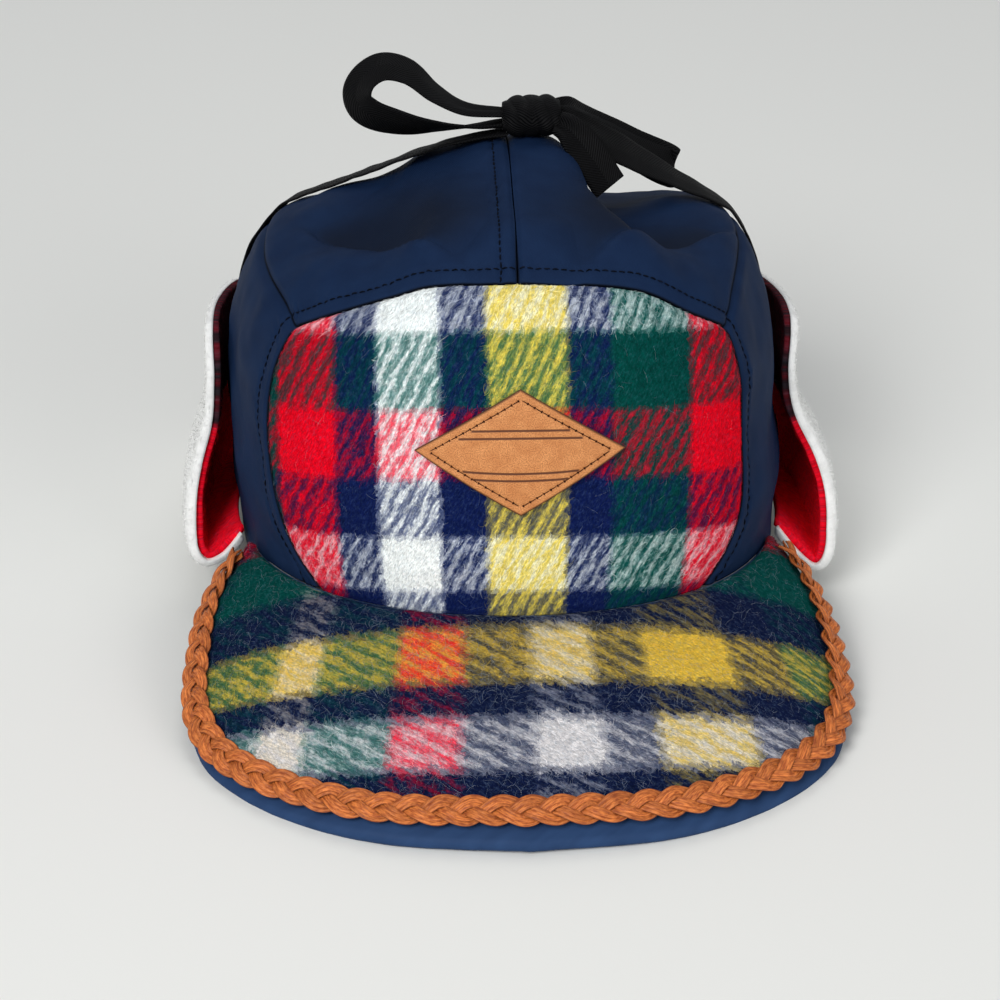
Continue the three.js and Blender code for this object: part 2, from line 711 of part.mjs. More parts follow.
function earFlap(word, side) {
  const group = new THREE.Group();
  const half = seamGap;
  const wool = flapLayer(side, () => -half - shellThickness, () => -half, 0);
  // The pile is thinner towards the flap's edges
  const fullness = (a, b) => {
    const edge = Math.min(a, 1 - a, b * 1.4, 1 - b) * 7;
    return fleeceThickness * (0.75 + 0.25 * Math.min(1, edge));
  };
  const fleece = flapLayer(side, () => half, (a, b) => half + fullness(a, b), fleeceOverhang);
  group.add(piece(`ear_flap_${word}`, wool, colours.redWool, 0.95));
  group.add(piece(`flap_lining_${word}`, fleece, colours.fleece, 1));
  return group;
}

// The knot sits on the ridge at the middle of the top.
const ridgeTop = offCrown(discPoint(0, 0.93), 0).z;
const knotCentre = new THREE.Vector3(
  knotOffset,
  -0.1 * halfLength,
  ridgeTop + knotHeight / 2 + seamGap + 0.4,
);

// A flat ribbon along a run of points. Its width lies along widthwards, twisted about the run by
// each row's turn in degrees.
function ribbon(points, rows, widthwards) {
  const curve = new THREE.CatmullRomCurve3(points);
  const steps = 3 * (points.length - 1);
  const walk = numbered(rows);
  const rings = evenly(steps).map((t) => {
    const centre = curve.getPoint(t);
    const run = curve.getTangent(t);
    const across = widthwards.clone().addScaledVector(run, -run.dot(widthwards)).normalize();
    across.applyAxisAngle(run, radians(along(walk, 'turn', t, 'step')));
    const normal = new THREE.Vector3().crossVectors(across, run);
    const halfRibbon = (ribbonWidth / 2) * along(walk, 'wide', t, 'step');
    const place = (a, n) =>
      centre
        .clone()
        .addScaledVector(across, a * halfRibbon)
        .addScaledVector(normal, (n * ribbonThickness) / 2);
    return [place(-1, -1), place(1, -1), place(1, 1), place(-1, 1)];
  });
  return loft(rings);
}

// The top of the crown at a distance aside and back from its middle.
function topPoint(x, y) {
  const disc = new THREE.Vector2(x / halfWidth, y / halfLength);
  for (let i = 0; i < 25; i++) {
    const miss = crownPoint(disc);
    disc.x += (0.7 * (x - miss.x)) / halfWidth;
    disc.y += (0.7 * (y - miss.y)) / halfLength;
  }
  return crownPoint(disc);
}

const rootGap = 3 * seamGap;

// A point by the knot: out sideways from its end, back and up.
function fromKnot(side, out, back, rise) {
  return new THREE.Vector3(side * (knotLength / 2 + rootGap + out), back, rise).add(knotCentre);
}

function ribbonTie(word, side) {
  // Caught behind the flap's tip, it runs up the wall, over the shoulder and straight to the knot
  const angle = side > 0 ? tieAngle.left : -tieAngle.right;
  const hug = 2.5 * seamGap + ribbonThickness / 2;
  const onWall = (height) => offCrown(wallAt(angle, height), height > flapHeight ? hug : 1.15 * hug);
  const onTop = (share) => offCrown(discPoint(angle, share), hug);
  const wall = [onWall(flapHeight * 0.86), onWall(flapHeight), onWall(flapHeight * 1.14),
    onWall(flapHeight * 1.28), onTop(0.52), onTop(0.56)];
  // On the wearer's right it is pulled round the ridge, on the left it hangs free of it, turned
  // to the front
  const onRidge = topPoint(-0.95 * ridgeHeight, knotCentre.y).addScaledVector(up, 2.5);
  const root = side > 0
    ? fromKnot(side, 0, -knotDepth * 0.14, -knotHeight * 0.06)
    : fromKnot(side, 0, 0, -knotHeight * 0.42);
  const nearRoot = side > 0
    ? fromKnot(side, knotLength * 0.25, -knotDepth * 0.14, -knotHeight * 0.16)
    : fromKnot(side, knotLength * 0.3, 0, -knotHeight * 0.46);
  const shoulder = lastOf(wall);
  const end = side > 0 ? nearRoot : onRidge;
  const free = [0.35, 0.7].map((t) => shoulder.clone().lerp(end, t));
  const points = side > 0
    ? [...wall, ...free, nearRoot, root]
    : [...wall, ...free, onRidge, nearRoot, root];
  const turns = side > 0
    ? [0, 0, 0, 0, 0, 0, -16, -34, -46, -50]
    : points.map(() => 0);
  const rows = turns.map((turn, i) => ({ turn, wide: i < turns.length - 2 ? 1 : 0.75 }));
  // The right one lies flat on the wall, which curves in towards the back there
  const lean = side > 0 ? 0 : radians(tieAngle.right - 90);
  const widthwards = backwards.clone().applyAxisAngle(up, side * lean);
  return piece(`tie_${word}`, ribbon(points, rows, widthwards), colours.ribbon);
}

function bowKnot() {
  // A plump wrap, squarer than an oval, with its band pulled in at the ends
  const wrap = [
    { at: -0.5, size: 0.72 },
    { at: -0.4, size: 0.92 },
    { at: -0.2, size: 1.0 },
    { at: 0.2, size: 1.0 },
    { at: 0.4, size: 0.9 },
    { at: 0.5, size: 0.7 },
  ];
  const sides = 12;
  const rings = wrap.map((row) =>
    evenly(sides).slice(1).map((t) => {
      const a = 2 * Math.PI * t;
      const round = (value) => Math.sign(value) * Math.abs(value) ** 0.8;
      return new THREE.Vector3(
        row.at * knotLength,
        (round(Math.cos(a)) * row.size * knotDepth) / 2,
        (round(Math.sin(a)) * row.size * knotHeight) / 2,
      ).add(knotCentre);
    }),
  );
  return piece('bow_knot', loft(rings), colours.ribbon);
}

function bow() {
  const group = new THREE.Group();
  group.add(bowKnot());
  const standing = standingLoop.map((row) => fromKnot(-1, loopReach * row.out, 0, loopRise * row.up));
  group.add(piece('bow_loop_right', ribbon(standing, standingLoop, backwards), colours.ribbon));
  const fallen = fallenLoop.map((row) =>
    fromKnot(1, loopReach * row.out, loopReach * row.back, loopReach * row.up),
  );
  group.add(piece('bow_loop_left', ribbon(fallen, fallenLoop, up), colours.ribbon));
  const front = frontTail.map((row) =>
    fromKnot(1, tailReach * row.out, tailReach * row.back - knotDepth * 0.37, tailReach * row.up),
  );
  group.add(piece('bow_tail_front', ribbon(front, frontTail, up), colours.ribbon));
  const behind = backTail.map((row) => {
    const y = knotCentre.y + knotDepth / 2 + halfLength * row.back;
    return topPoint(knotOffset, y).addScaledVector(up, knotHeight * row.lift);
  });
  const flat = backTail.map((row) => ({ ...row, turn: 0 }));
  group.add(piece('bow_tail_back', ribbon(behind, flat, sideways), colours.ribbon));
  return group;
}

const cap = new THREE.Group();
cap.add(crown(), leatherPatch());
cap.add(visorBody(), visorCover(), visorBraid());
for (const [word, side] of [['left', 1], ['right', -1]]) {
  cap.add(earFlap(word, side), ribbonTie(word, side));
}
cap.add(bow());

// Tipped back until the visor's front and the back of the rim both touch the table, and moved so
// that the middle of its box is over the origin and its lowest point at height 0
cap.rotation.x = -restTilt;
const box = new THREE.Box3().setFromObject(cap, true);
const middle = box.getCenter(new THREE.Vector3());
cap.position.set(-middle.x, -middle.y, -box.min.z);

const part = new THREE.Group();
part.add(cap);
export default part;
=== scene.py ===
"""The looks of the ear flap cap: wool, nylon, fleece, leather and ribbon round its solids.

Shapes are worked out in millimetres on the cap as worn, with its rim level at height 0 and its
front towards -Y, and are then tipped back to the way it rests on the table."""

import math

import bpy
import numpy as np
from mathutils import Matrix


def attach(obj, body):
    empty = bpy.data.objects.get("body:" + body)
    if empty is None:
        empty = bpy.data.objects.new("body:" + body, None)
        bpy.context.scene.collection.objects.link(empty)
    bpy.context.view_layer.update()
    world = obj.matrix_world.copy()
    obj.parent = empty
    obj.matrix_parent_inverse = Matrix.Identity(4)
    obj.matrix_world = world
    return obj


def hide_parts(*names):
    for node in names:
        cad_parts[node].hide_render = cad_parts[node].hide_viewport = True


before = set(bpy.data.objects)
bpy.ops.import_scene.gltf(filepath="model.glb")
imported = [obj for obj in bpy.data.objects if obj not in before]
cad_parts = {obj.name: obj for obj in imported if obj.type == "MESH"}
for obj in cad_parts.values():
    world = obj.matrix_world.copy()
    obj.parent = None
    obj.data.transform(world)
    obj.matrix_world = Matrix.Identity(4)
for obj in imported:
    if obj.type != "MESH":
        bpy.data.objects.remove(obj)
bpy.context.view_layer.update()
bpy.ops.object.select_all(action="DESELECT")

# Sizes, as in the solids
HALF_WIDTH, HALF_LENGTH, HEIGHT, RIDGE = 82.0, 99.0, 94.0, 23.0
CLOTH, GAP = 2.0, 0.3
PATCH_WIDTH, PATCH_HEIGHT, PATCH_THICKNESS, PATCH_CENTRE = 59.0, 35.0, 2.0, 48.5
VISOR_REACH, VISOR_HALF, VISOR_DROP, VISOR_THICKNESS, VISOR_ARCH = 59.0, 94.5, 43.0, 4.0, 2.0
COVER, COVER_INSET, BRAID_WIDTH = 1.6, 0.9, 9.0
BORDER_FRONT, BORDER_SIDE = 4.5, 1.2
FLAP_HEIGHT, STANDOFF, BACK_LIFT = 62.0, {1: 16.0, -1: 14.5}, 10.0
FLAP_SAG, FLAP_BOW, TIE_ANGLE = {1: 3.0, -1: -1.5}, 2.4, {1: 100.5, -1: 108.0}
SHELL, FLEECE, OVERHANG = 1.8, 3.2, 1.5
RIBBON_WIDTH, KNOT_LENGTH, KNOT_DEPTH, KNOT_HEIGHT, KNOT_OFFSET = 12.0, 17.0, 15.0, 12.0, 7.0
LOOP_REACH, LOOP_RISE, TAIL_REACH = 44.0, 16.0, 16.0
VISOR_CORNER, FLAP_FRONT, FLAP_BACK = 65.0, 73.0, 128.0
FLATTENING = 0.8
SIDES = (("left", 1), ("right", -1))

# How the cap rests: tipped back about X, then moved
REST_TILT = math.atan2(VISOR_DROP + VISOR_THICKNESS, 2 * HALF_LENGTH + VISOR_REACH)
REST_PLACE = np.array([-0.7127, 28.9943, 17.0227])
TURN = np.array([[1, 0, 0], [0, math.cos(REST_TILT), math.sin(REST_TILT)],
                 [0, -math.sin(REST_TILT), math.cos(REST_TILT)]])


def table(columns, *rows):
    """Columns of numbers by name. The column step walks the rows evenly."""
    values = dict(zip(columns.split(), np.array(rows, float).T))
    values["step"] = np.linspace(0, 1, len(rows))
    return values


CROWN = table(
    "share front side back front_up side_up back_up",
    (0.0, 1.0, 1.0, 1.0, 0.0, 0.0, 0.0),
    (0.12, 1.02, 1.03, 1.02, 0.245, 0.21, 0.22),
    (0.25, 1.01, 1.03, 1.0, 0.51, 0.46, 0.43),
    (0.37, 0.975, 0.985, 0.945, 0.735, 0.67, 0.6),
    (0.45, 0.915, 0.935, 0.87, 0.875, 0.81, 0.71),
    (0.52, 0.82, 0.865, 0.775, 0.975, 0.925, 0.795),
    (0.6, 0.68, 0.76, 0.65, 1.035, 0.99, 0.87),
    (0.7, 0.5, 0.6, 0.48, 1.0, 1.01, 0.935),
    (0.85, 0.25, 0.31, 0.235, 0.99, 0.995, 0.985),
    (1.0, 0.0, 0.0, 0.0, 1.0, 1.0, 1.0),
)
RIDGE_LINE = table(
    "y height left right steep",
    (-0.95, 0.0, 1.95, 1.3, 8), (-0.83, 0.05, 1.9, 1.3, 8), (-0.66, 0.36, 1.8, 1.3, 8),
    (-0.5, 0.68, 1.55, 1.32, 7), (-0.3, 0.93, 1.25, 1.6, 4.2), (-0.12, 1.0, 1.05, 1.9, 2.8),
    (0.0, 0.95, 1.0, 1.9, 2.7), (0.2, 0.76, 1.0, 1.85, 2.7), (0.42, 0.45, 1.0, 1.6, 3),
    (0.62, 0.16, 1.0, 1.3, 4), (0.8, 0.0, 1.0, 1.0, 8),
)
# Where the wall swells or draws in: side, rise, over, out
SWELLS = [(-1, 0.77, 0.18, 0.034), (1, 0.45, 0.19, -0.046)]
# Dents in the top: x, y, across, along, depth
DENTS = [(-0.5, -0.34, 0.2, 0.26, 0.045), (0.56, -0.34, 0.19, 0.26, 0.05),
         (-0.42, 0.35, 0.24, 0.3, 0.03), (0.46, 0.4, 0.24, 0.3, 0.025)]
FRONT_SIDE = {1: table("share angle", (0.0, 40), (0.045, 45.5), (0.105, 49.5), (0.18, 51.5),
                       (0.26, 52), (0.34, 51.2), (0.42, 48.5)),
              -1: table("share angle", (0.0, 42.5), (0.045, 48), (0.105, 52), (0.18, 54.5),
                        (0.26, 55.5), (0.34, 54.2), (0.425, 49.5))}
FRONT_TOP = {1: table("share angle", (0.513, 0), (0.506, 13.5), (0.488, 26), (0.455, 38),
                      (0.42, 48.5)),
             -1: table("share angle", (0.513, 0), (0.508, 13.5), (0.494, 26), (0.463, 38),
                       (0.425, 49.5))}
SHOULDER = {1: table("share angle", (0.42, 48.5), (0.478, 57), (0.515, 70), (0.53, 88),
                     (0.522, 104), (0.49, 118)),
            -1: table("share angle", (0.425, 49.5), (0.46, 56), (0.485, 68), (0.507, 88),
                      (0.51, 104), (0.49, 118))}
BACK_SEAM = table("share angle", (0.0, 141), (0.2, 138), (0.36, 130), (0.49, 118))
VISOR_EDGE = table(
    "share x ahead drop",
    (0.0, 0.0, 1.0, 1.0), (0.185, 0.365, 0.925, 0.995), (0.3, 0.585, 0.795, 0.98),
    (0.42, 0.785, 0.583, 0.945), (0.52, 0.92, 0.34, 0.89), (0.61, 0.985, 0.09, 0.795),
    (0.675, 1.0, -0.115, 0.695), (0.755, 0.995, -0.355, 0.56), (0.83, 0.98, -0.595, 0.435),
    (0.92, 0.925, -0.86, 0.26), (1.0, 0.835, -0.985, 0.085),
)
FLAP = table(
    "share up off wide",
    (0.0, 0.015, 0.0, 1.0), (0.06, -0.09, 0.46, 1.0), (0.14, -0.125, 0.88, 1.0),
    (0.24, -0.03, 1.08, 0.99), (0.36, 0.15, 0.95, 0.96), (0.5, 0.36, 0.64, 0.91),
    (0.65, 0.56, 0.29, 0.84), (0.8, 0.76, 0.21, 0.74), (0.92, 0.92, 0.27, 0.62),
    (1.0, 1.0, 0.29, 0.54),
)
STANDING_LOOP = table(
    "out up turn wide",
    (0.0, -0.14, 0, 0.7), (0.2, -0.18, 8, 0.85), (0.48, -0.2, 26, 1), (0.76, -0.1, 48, 1),
    (0.95, 0.12, 54, 1), (1.0, 0.42, 44, 1), (0.95, 0.74, 34, 1), (0.82, 0.94, 30, 1),
    (0.66, 0.86, 26, 1), (0.48, 0.46, 16, 1), (0.26, 0.14, 8, 0.85), (0.0, 0.06, 0, 0.7),
)
FALLEN_LOOP = table(
    "out back up turn wide",
    (0.0, 0.03, -0.03, -30, 0.7), (0.12, 0.07, -0.06, -30, 0.85), (0.36, 0.29, -0.22, -30, 1),
    (0.62, 0.49, -0.39, -28, 1), (0.81, 0.61, -0.5, -16, 1), (0.86, 0.67, -0.52, 0, 1),
    (0.8, 0.7, -0.48, 16, 1), (0.58, 0.59, -0.35, 26, 1), (0.32, 0.41, -0.18, 30, 1),
    (0.11, 0.17, -0.02, 30, 0.85), (0.0, 0.1, 0.0, 30, 0.7),
)
FRONT_TAIL = table(
    "out back up turn wide",
    (0.0, 0.0, -0.05, -28, 0.6), (0.2, -0.03, -0.16, -32, 0.75), (0.45, -0.06, -0.45, -36, 0.95),
    (0.72, -0.1, -0.84, -38, 1), (0.98, -0.12, -1.25, -38, 1),
)
BACK_TAIL = table("back lift wide", (0.015, 0.24, 0.7), (0.07, 0.2, 0.85), (0.16, 0.16, 1),
                  (0.26, 0.14, 1), (0.36, 0.16, 1))


# Shapes on the cap as worn

def follow(rows, column, at, key="share"):
    """A column of a table at any place, on a smooth curve through its rows."""
    x, y = rows[key], rows[column]
    at = np.asarray(at, float)
    slope = np.empty(len(y))
    slope[0] = (y[1] - y[0]) / (x[1] - x[0])
    slope[-1] = (y[-1] - y[-2]) / (x[-1] - x[-2])
    slope[1:-1] = (y[2:] - y[:-2]) / (x[2:] - x[:-2])
    i = np.searchsorted(x[1:-1], at, side="left")
    step = x[i + 1] - x[i]
    t = np.clip((at - x[i]) / step, 0, 1)
    return ((2 * t**3 - 3 * t**2 + 1) * y[i] + (t**3 - 2 * t**2 + t) * step * slope[i]
            + (3 * t**2 - 2 * t**3) * y[i + 1] + (t**3 - t**2) * step * slope[i + 1])


def unit(v):
    return v / np.maximum(np.linalg.norm(v, axis=-1, keepdims=True), 1e-9)


def disc_point(angle, share):
    """The crown is laid out on a disc, with the middle of the top at its centre."""
    a = np.radians(angle)
    return np.stack([np.sin(a), -np.cos(a)], -1) * (1 - np.asarray(share, float))[..., None]


def ridge_shape(x, y):
    place = np.clip(y / HALF_LENGTH, RIDGE_LINE["y"][0], RIDGE_LINE["y"][-1])
    width = np.where(x > 0, follow(RIDGE_LINE, "left", place, "y"),
                     follow(RIDGE_LINE, "right", place, "y"))
    q = np.abs(x) / (RIDGE * width)
    steep = np.where(x > 0, 8, follow(RIDGE_LINE, "steep", place, "y"))
    return (follow(RIDGE_LINE, "height", place, "y")
            * (1 - 0.18 * np.minimum(q, 1) ** 2) * np.exp(-np.minimum(q, 9.0) ** steep))


def crown_point(disc):
    length = np.linalg.norm(disc, axis=-1)
    share = 1 - np.minimum(length, 1.1)
    angle = np.arctan2(disc[..., 0], -disc[..., 1])
    ahead, aside = np.cos(angle), np.sin(angle)
    reach = {name: follow(CROWN, name, share) for name in CROWN if name not in ("share", "step")}
    fullness = 1 + 0.03 * np.sin(2 * angle) ** 2 * np.minimum(1, 4 * length)
    x = HALF_WIDTH * reach["side"] * aside * fullness
    lengthways = (reach["front"] * (1 + ahead) + reach["back"] * (1 - ahead)) / 2
    y = -HALF_LENGTH * lengthways * ahead * fullness
    end_up = np.where(ahead > 0, reach["front_up"], reach["back_up"])
    z = HEIGHT * (ahead**2 * end_up + aside**2 * reach["side_up"]) + RIDGE * ridge_shape(x, y)
    for dx, dy, across, lengthwise, depth in DENTS:
        z = z - depth * HEIGHT * np.exp(-((x - dx * HALF_WIDTH) / (across * HEIGHT)) ** 2
                                        - ((y - dy * HALF_LENGTH) / (lengthwise * HEIGHT)) ** 2)
    by = sum(np.where(x * side > 0, side * out * x**2 / HALF_WIDTH, 0)
             * np.exp(-((z / HEIGHT - rise) / over) ** 2) for side, rise, over, out in SWELLS)
    return np.stack([x + by, y, z], -1)


def crown_normal(disc, small=0.004):
    length = np.linalg.norm(disc, axis=-1, keepdims=True)
    d = disc * np.minimum(1, (1 - small) / np.maximum(length, small))
    right = crown_point(d + (small, 0)) - crown_point(d - (small, 0))
    back = crown_point(d + (0, small)) - crown_point(d - (0, small))
    return unit(np.cross(right, back))


def wall_at(angle, height):
    """The disc point at an angle round the crown and a height above the rim."""
    angle, height = np.broadcast_arrays(np.asarray(angle, float), np.asarray(height, float))
    low, high = np.zeros(angle.shape), np.full(angle.shape, 0.66)
    for _ in range(24):
        middle = (low + high) / 2
        below = crown_point(disc_point(angle, middle))[..., 2] < height
        low, high = np.where(below, middle, low), np.where(below, high, middle)
    return disc_point(angle, low)


def front_point(x, height):
    x, height = np.broadcast_arrays(x, height)
    low, high = np.full(x.shape, -60.0), np.full(x.shape, 60.0)
    for _ in range(22):
        middle = (low + high) / 2
        short = crown_point(wall_at(middle, height))[..., 0] < x
        low, high = np.where(short, middle, low), np.where(short, high, middle)
    return wall_at(low, height)


def top_point(x, y):
    """The top of the crown at a distance aside and back from its middle."""
    disc = np.stack(np.broadcast_arrays(x / HALF_WIDTH, y / HALF_LENGTH), -1).astype(float)
    for _ in range(25):
        miss = crown_point(disc)
        disc = disc + 0.7 * np.stack([(x - miss[..., 0]) / HALF_WIDTH,
                                      (y - miss[..., 1]) / HALF_LENGTH], -1)
    return disc


def outwards(angle):
    a = np.radians(angle)
    return unit(np.stack([np.sin(a) / HALF_WIDTH, -np.cos(a) / HALF_LENGTH, 0 * a], -1))


def to_table(points):
    """From the cap as worn, in millimetres, to where it rests, in metres."""
    table_height = (FLATTENING - VISOR_DROP - VISOR_THICKNESS
                    + (points[..., 1] + HALF_LENGTH + VISOR_REACH) * math.tan(REST_TILT))
    settled = points.copy()
    settled[..., 2] = np.maximum(points[..., 2], table_height)
    return (settled @ TURN.T + REST_PLACE) / 1000


def waves(points, seed, shortest, longest, count=14):
    """A soft unevenness of height about 1, from waves that run every way."""
    rng = np.random.default_rng(seed)
    total = np.zeros(points.shape[:-1])
    for _ in range(count):
        way = unit(rng.normal(size=3))
        length = shortest * (longest / shortest) ** rng.random()
        total += np.sin(2 * np.pi * (points @ way) / length + rng.uniform(0, 2 * np.pi))
    return total / math.sqrt(count)


# Cloth as grids of points

def eased(count, ends=0.75):
    """Even steps that become short at both ends."""
    x = np.linspace(0, 1, count + 1)
    return x - ends * np.sin(2 * np.pi * x) / (2 * np.pi)


def sample(field, i, j):
    """A grid's values between its points."""
    i = np.clip(i, 0, field.shape[0] - 1.001)
    j = np.clip(j, 0, field.shape[1] - 1.001)
    a, b = i.astype(int), j.astype(int)
    u, v = (i - a)[..., None], (j - b)[..., None]
    if field.ndim == 2:
        u, v = u[..., 0], v[..., 0]
    return ((field[a, b] * (1 - u) + field[a + 1, b] * u) * (1 - v)
            + (field[a, b + 1] * (1 - u) + field[a + 1, b + 1] * u) * v)


def grid_normals(points):
    return unit(np.cross(np.gradient(points, axis=0), np.gradient(points, axis=1)))


# A grid turned so that the named edge comes first, and turned back again
EDGES = {"start": lambda g: g, "end": lambda g: g[::-1],
         "bottom": lambda g: np.swapaxes(g, 0, 1), "top": lambda g: np.swapaxes(g, 0, 1)[::-1]}
BACK = {"start": lambda g: g, "end": lambda g: g[::-1],
        "bottom": lambda g: np.swapaxes(g, 0, 1), "top": lambda g: np.swapaxes(g[::-1], 0, 1)}


def from_edge(points, edge):
    """How far each point of the grid lies from one of its edges, along the cloth."""
    turned = EDGES[edge](points)
    steps = np.linalg.norm(np.diff(turned, axis=0), axis=-1)
    far = np.concatenate([np.zeros((1, steps.shape[1])), np.cumsum(steps, axis=0)])
    return BACK[edge](far)


def from_edges(points):
    """The distances from each of the four edges by name, and from the nearest of them."""
    fars = {edge: from_edge(points, edge) for edge in EDGES}
    return fars, np.minimum.reduce(list(fars.values()))


def outward(points, normals):
    """The grid's own normals, on the same side as those given."""
    up = grid_normals(points)
    return up * np.sign((up * normals).sum(-1, keepdims=True))


def parallel(points, normals, edge, distance, clear):
    """A line on the cloth that keeps its distance from one edge, with the cloth's normals."""
    turned, up = EDGES[edge](points), EDGES[edge](normals)
    far = EDGES[edge](from_edge(points, edge))
    index = np.array([np.interp(distance, far[:, k], np.arange(len(far)))
                      for k in range(far.shape[1])])
    k = np.arange(far.shape[1])
    return sample(turned, index, k) + sample(up, index, k) * clear, sample(up, index, k)


def lengths(line):
    """How far each point of a line lies along it."""
    return np.concatenate([[0], np.cumsum(np.linalg.norm(np.diff(line, axis=0), axis=1))])


def evenly_along(line, spacing, start, stop):
    """Places along a line at even spacing, as fractional indices."""
    far = lengths(line)
    wanted = np.arange(start, far[-1] - stop, spacing)
    return np.interp(wanted, far, np.arange(len(line)))


def on_line(line, index):
    index = np.clip(index, 0, len(line) - 1)
    return np.stack([np.interp(index, np.arange(len(line)), line[:, k]) for k in range(3)], -1)


# Meshes

def set_weave(mesh, values):
    layer = mesh.attributes.new("weave", "FLOAT_VECTOR", "POINT")
    layer.data.foreach_set("vector", np.ascontiguousarray(values, np.float32).ravel())


def sheet(name, points, weave):
    """A grid of cloth with its vertices at these points, and their places in the weave."""
    columns, rows = points.shape[0] - 1, points.shape[1] - 1
    bpy.ops.mesh.primitive_grid_add(x_subdivisions=columns, y_subdivisions=rows, size=1)
    piece = bpy.context.object
    piece.name = piece.data.name = name
    flat = np.empty(len(piece.data.vertices) * 3)
    piece.data.vertices.foreach_get("co", flat)
    i, j = np.rint((flat.reshape(-1, 3)[:, :2] + 0.5) * (columns, rows)).astype(int).T
    piece.data.vertices.foreach_set("co", to_table(points[i, j]).ravel())
    set_weave(piece.data, weave[i, j])
    piece.data.update()
    return piece


def join(pieces):
    """Makes several pieces one, under the name of the first."""
    if len(pieces) > 1:
        bpy.ops.object.select_all(action="DESELECT")
        for piece in pieces:
            piece.select_set(True)
        bpy.context.view_layer.objects.active = pieces[0]
        bpy.ops.object.join()
    return pieces[0]


def shell(name, outer, inner, weave, facing=None):
    """A closed layer of cloth between two grids of points."""
    if facing is None:
        facing = grid_normals(outer).mean((0, 1)) @ (outer - inner).mean((0, 1))
    if facing < 0:
        outer, inner, weave = outer[::-1], inner[::-1], weave[::-1]
    piece = join([sheet(name, outer, weave), sheet(name + "_under", inner[::-1], weave[::-1])])
    bpy.ops.object.mode_set(mode="EDIT")
    bpy.ops.mesh.select_mode(type="EDGE")
    bpy.ops.mesh.select_all(action="DESELECT")
    bpy.ops.mesh.select_non_manifold(extend=False)
    bpy.ops.mesh.bridge_edge_loops()
    bpy.ops.object.mode_set(mode="OBJECT")
    bpy.ops.object.shade_smooth()
    return piece


def tube(name, points, weave):
    """A tube of cloth whose rows close on themselves, with its two ends filled."""
    piece = sheet(name, points, weave)
    bpy.ops.object.mode_set(mode="EDIT")
    bpy.ops.mesh.select_all(action="SELECT")
    bpy.ops.mesh.remove_doubles(threshold=0.00002)
    bpy.ops.mesh.select_mode(type="EDGE")
    bpy.ops.mesh.select_all(action="DESELECT")
    bpy.ops.mesh.select_non_manifold(extend=False)
    bpy.ops.mesh.edge_face_add()
    bpy.ops.mesh.select_all(action="SELECT")
    bpy.ops.mesh.normals_make_consistent(inside=False)
    bpy.ops.object.mode_set(mode="OBJECT")
    bpy.ops.object.shade_smooth_by_angle(angle=math.radians(50))
    return piece


def mesh_piece(name, verts, faces, weave):
    """A mesh of many small repeated shapes. faces is a list of arrays of triangles or quads."""
    mesh = bpy.data.meshes.new(name)
    loops = np.concatenate([f.ravel() for f in faces])
    sizes = np.concatenate([np.full(len(f), f.shape[1]) for f in faces])
    mesh.vertices.add(len(verts))
    mesh.vertices.foreach_set("co", to_table(verts).ravel())
    mesh.loops.add(len(loops))
    mesh.loops.foreach_set("vertex_index", loops.astype(np.int32))
    mesh.polygons.add(len(sizes))
    starts = np.concatenate([[0], np.cumsum(sizes)[:-1]])
    mesh.polygons.foreach_set("loop_start", starts.astype(np.int32))
    mesh.polygons.foreach_set("use_smooth", np.ones(len(sizes), bool))
    mesh.update(calc_edges=True)
    mesh.validate()
    set_weave(mesh, weave)
    piece = bpy.data.objects.new(name, mesh)
    bpy.context.scene.collection.objects.link(piece)
    return piece


# Heights of a fibre's four points over the cloth, as a share of its rise, and its width at three
FIBRE_HEIGHTS, FIBRE_WIDTHS = (-0.15, 0.85, 1.0, 0.55), (1, 1, 0.75)


def nap(name, points, normals, weave, *, count, seed, length, width, lift, lean, spread, ends=0.75):
    """Brushed fibres that lie on a cloth. Each keeps the colour of the place where it is rooted.

    length, width and lift are ranges in millimetres, lean and spread are in degrees, and ends is
    how the cloth's grid was eased."""
    rng = np.random.default_rng(seed)
    columns, rows = points.shape[0] - 1, points.shape[1] - 1
    i = np.interp(rng.random(count), eased(columns, ends), np.arange(columns + 1.0))
    j = np.interp(rng.random(count), eased(rows, ends), np.arange(rows + 1.0))
    run_i = np.linalg.norm(np.gradient(points, axis=0), axis=-1)
    run_j = np.linalg.norm(np.gradient(points, axis=1), axis=-1)
    root = sample(weave, i, j)
    root[:, 2] = rng.random(count)
    angle = np.radians(lean + spread * rng.normal(size=count)) + np.pi * rng.integers(0, 2, count)
    curl = rng.normal(scale=0.5, size=count)
    size = rng.uniform(*length, count)
    rise = rng.uniform(*lift, count)
    line = []
    for k, height in enumerate(FIBRE_HEIGHTS):
        up = sample(normals, i, j)
        line.append((sample(points, i, j) + up * (rise * height)[:, None], up))
        i = i + np.cos(angle + curl * k) * size / 3 / np.maximum(sample(run_i, i, j), 0.05)
        j = j + np.sin(angle + curl * k) * size / 3 / np.maximum(sample(run_j, i, j), 0.05)
    way = [unit(line[min(k + 1, 3)][0] - line[max(k - 1, 0)][0]) for k in range(4)]
    half = rng.uniform(*width, count)[:, None] / 2
    verts = []
    for k, share in enumerate(FIBRE_WIDTHS):
        aside = unit(np.cross(line[k][1], way[k])) * half * share
        verts += [line[k][0] - aside, line[k][0] + aside]
    verts.append(line[3][0])
    verts = np.stack(verts, 1).reshape(-1, 3)
    base = (np.arange(count) * 7)[:, None]
    quads = np.concatenate([base + (0, 1, 3, 2), base + (2, 3, 5, 4)])
    return mesh_piece(name, verts, [quads, base + (4, 5, 6)], np.repeat(root, 7, 0))


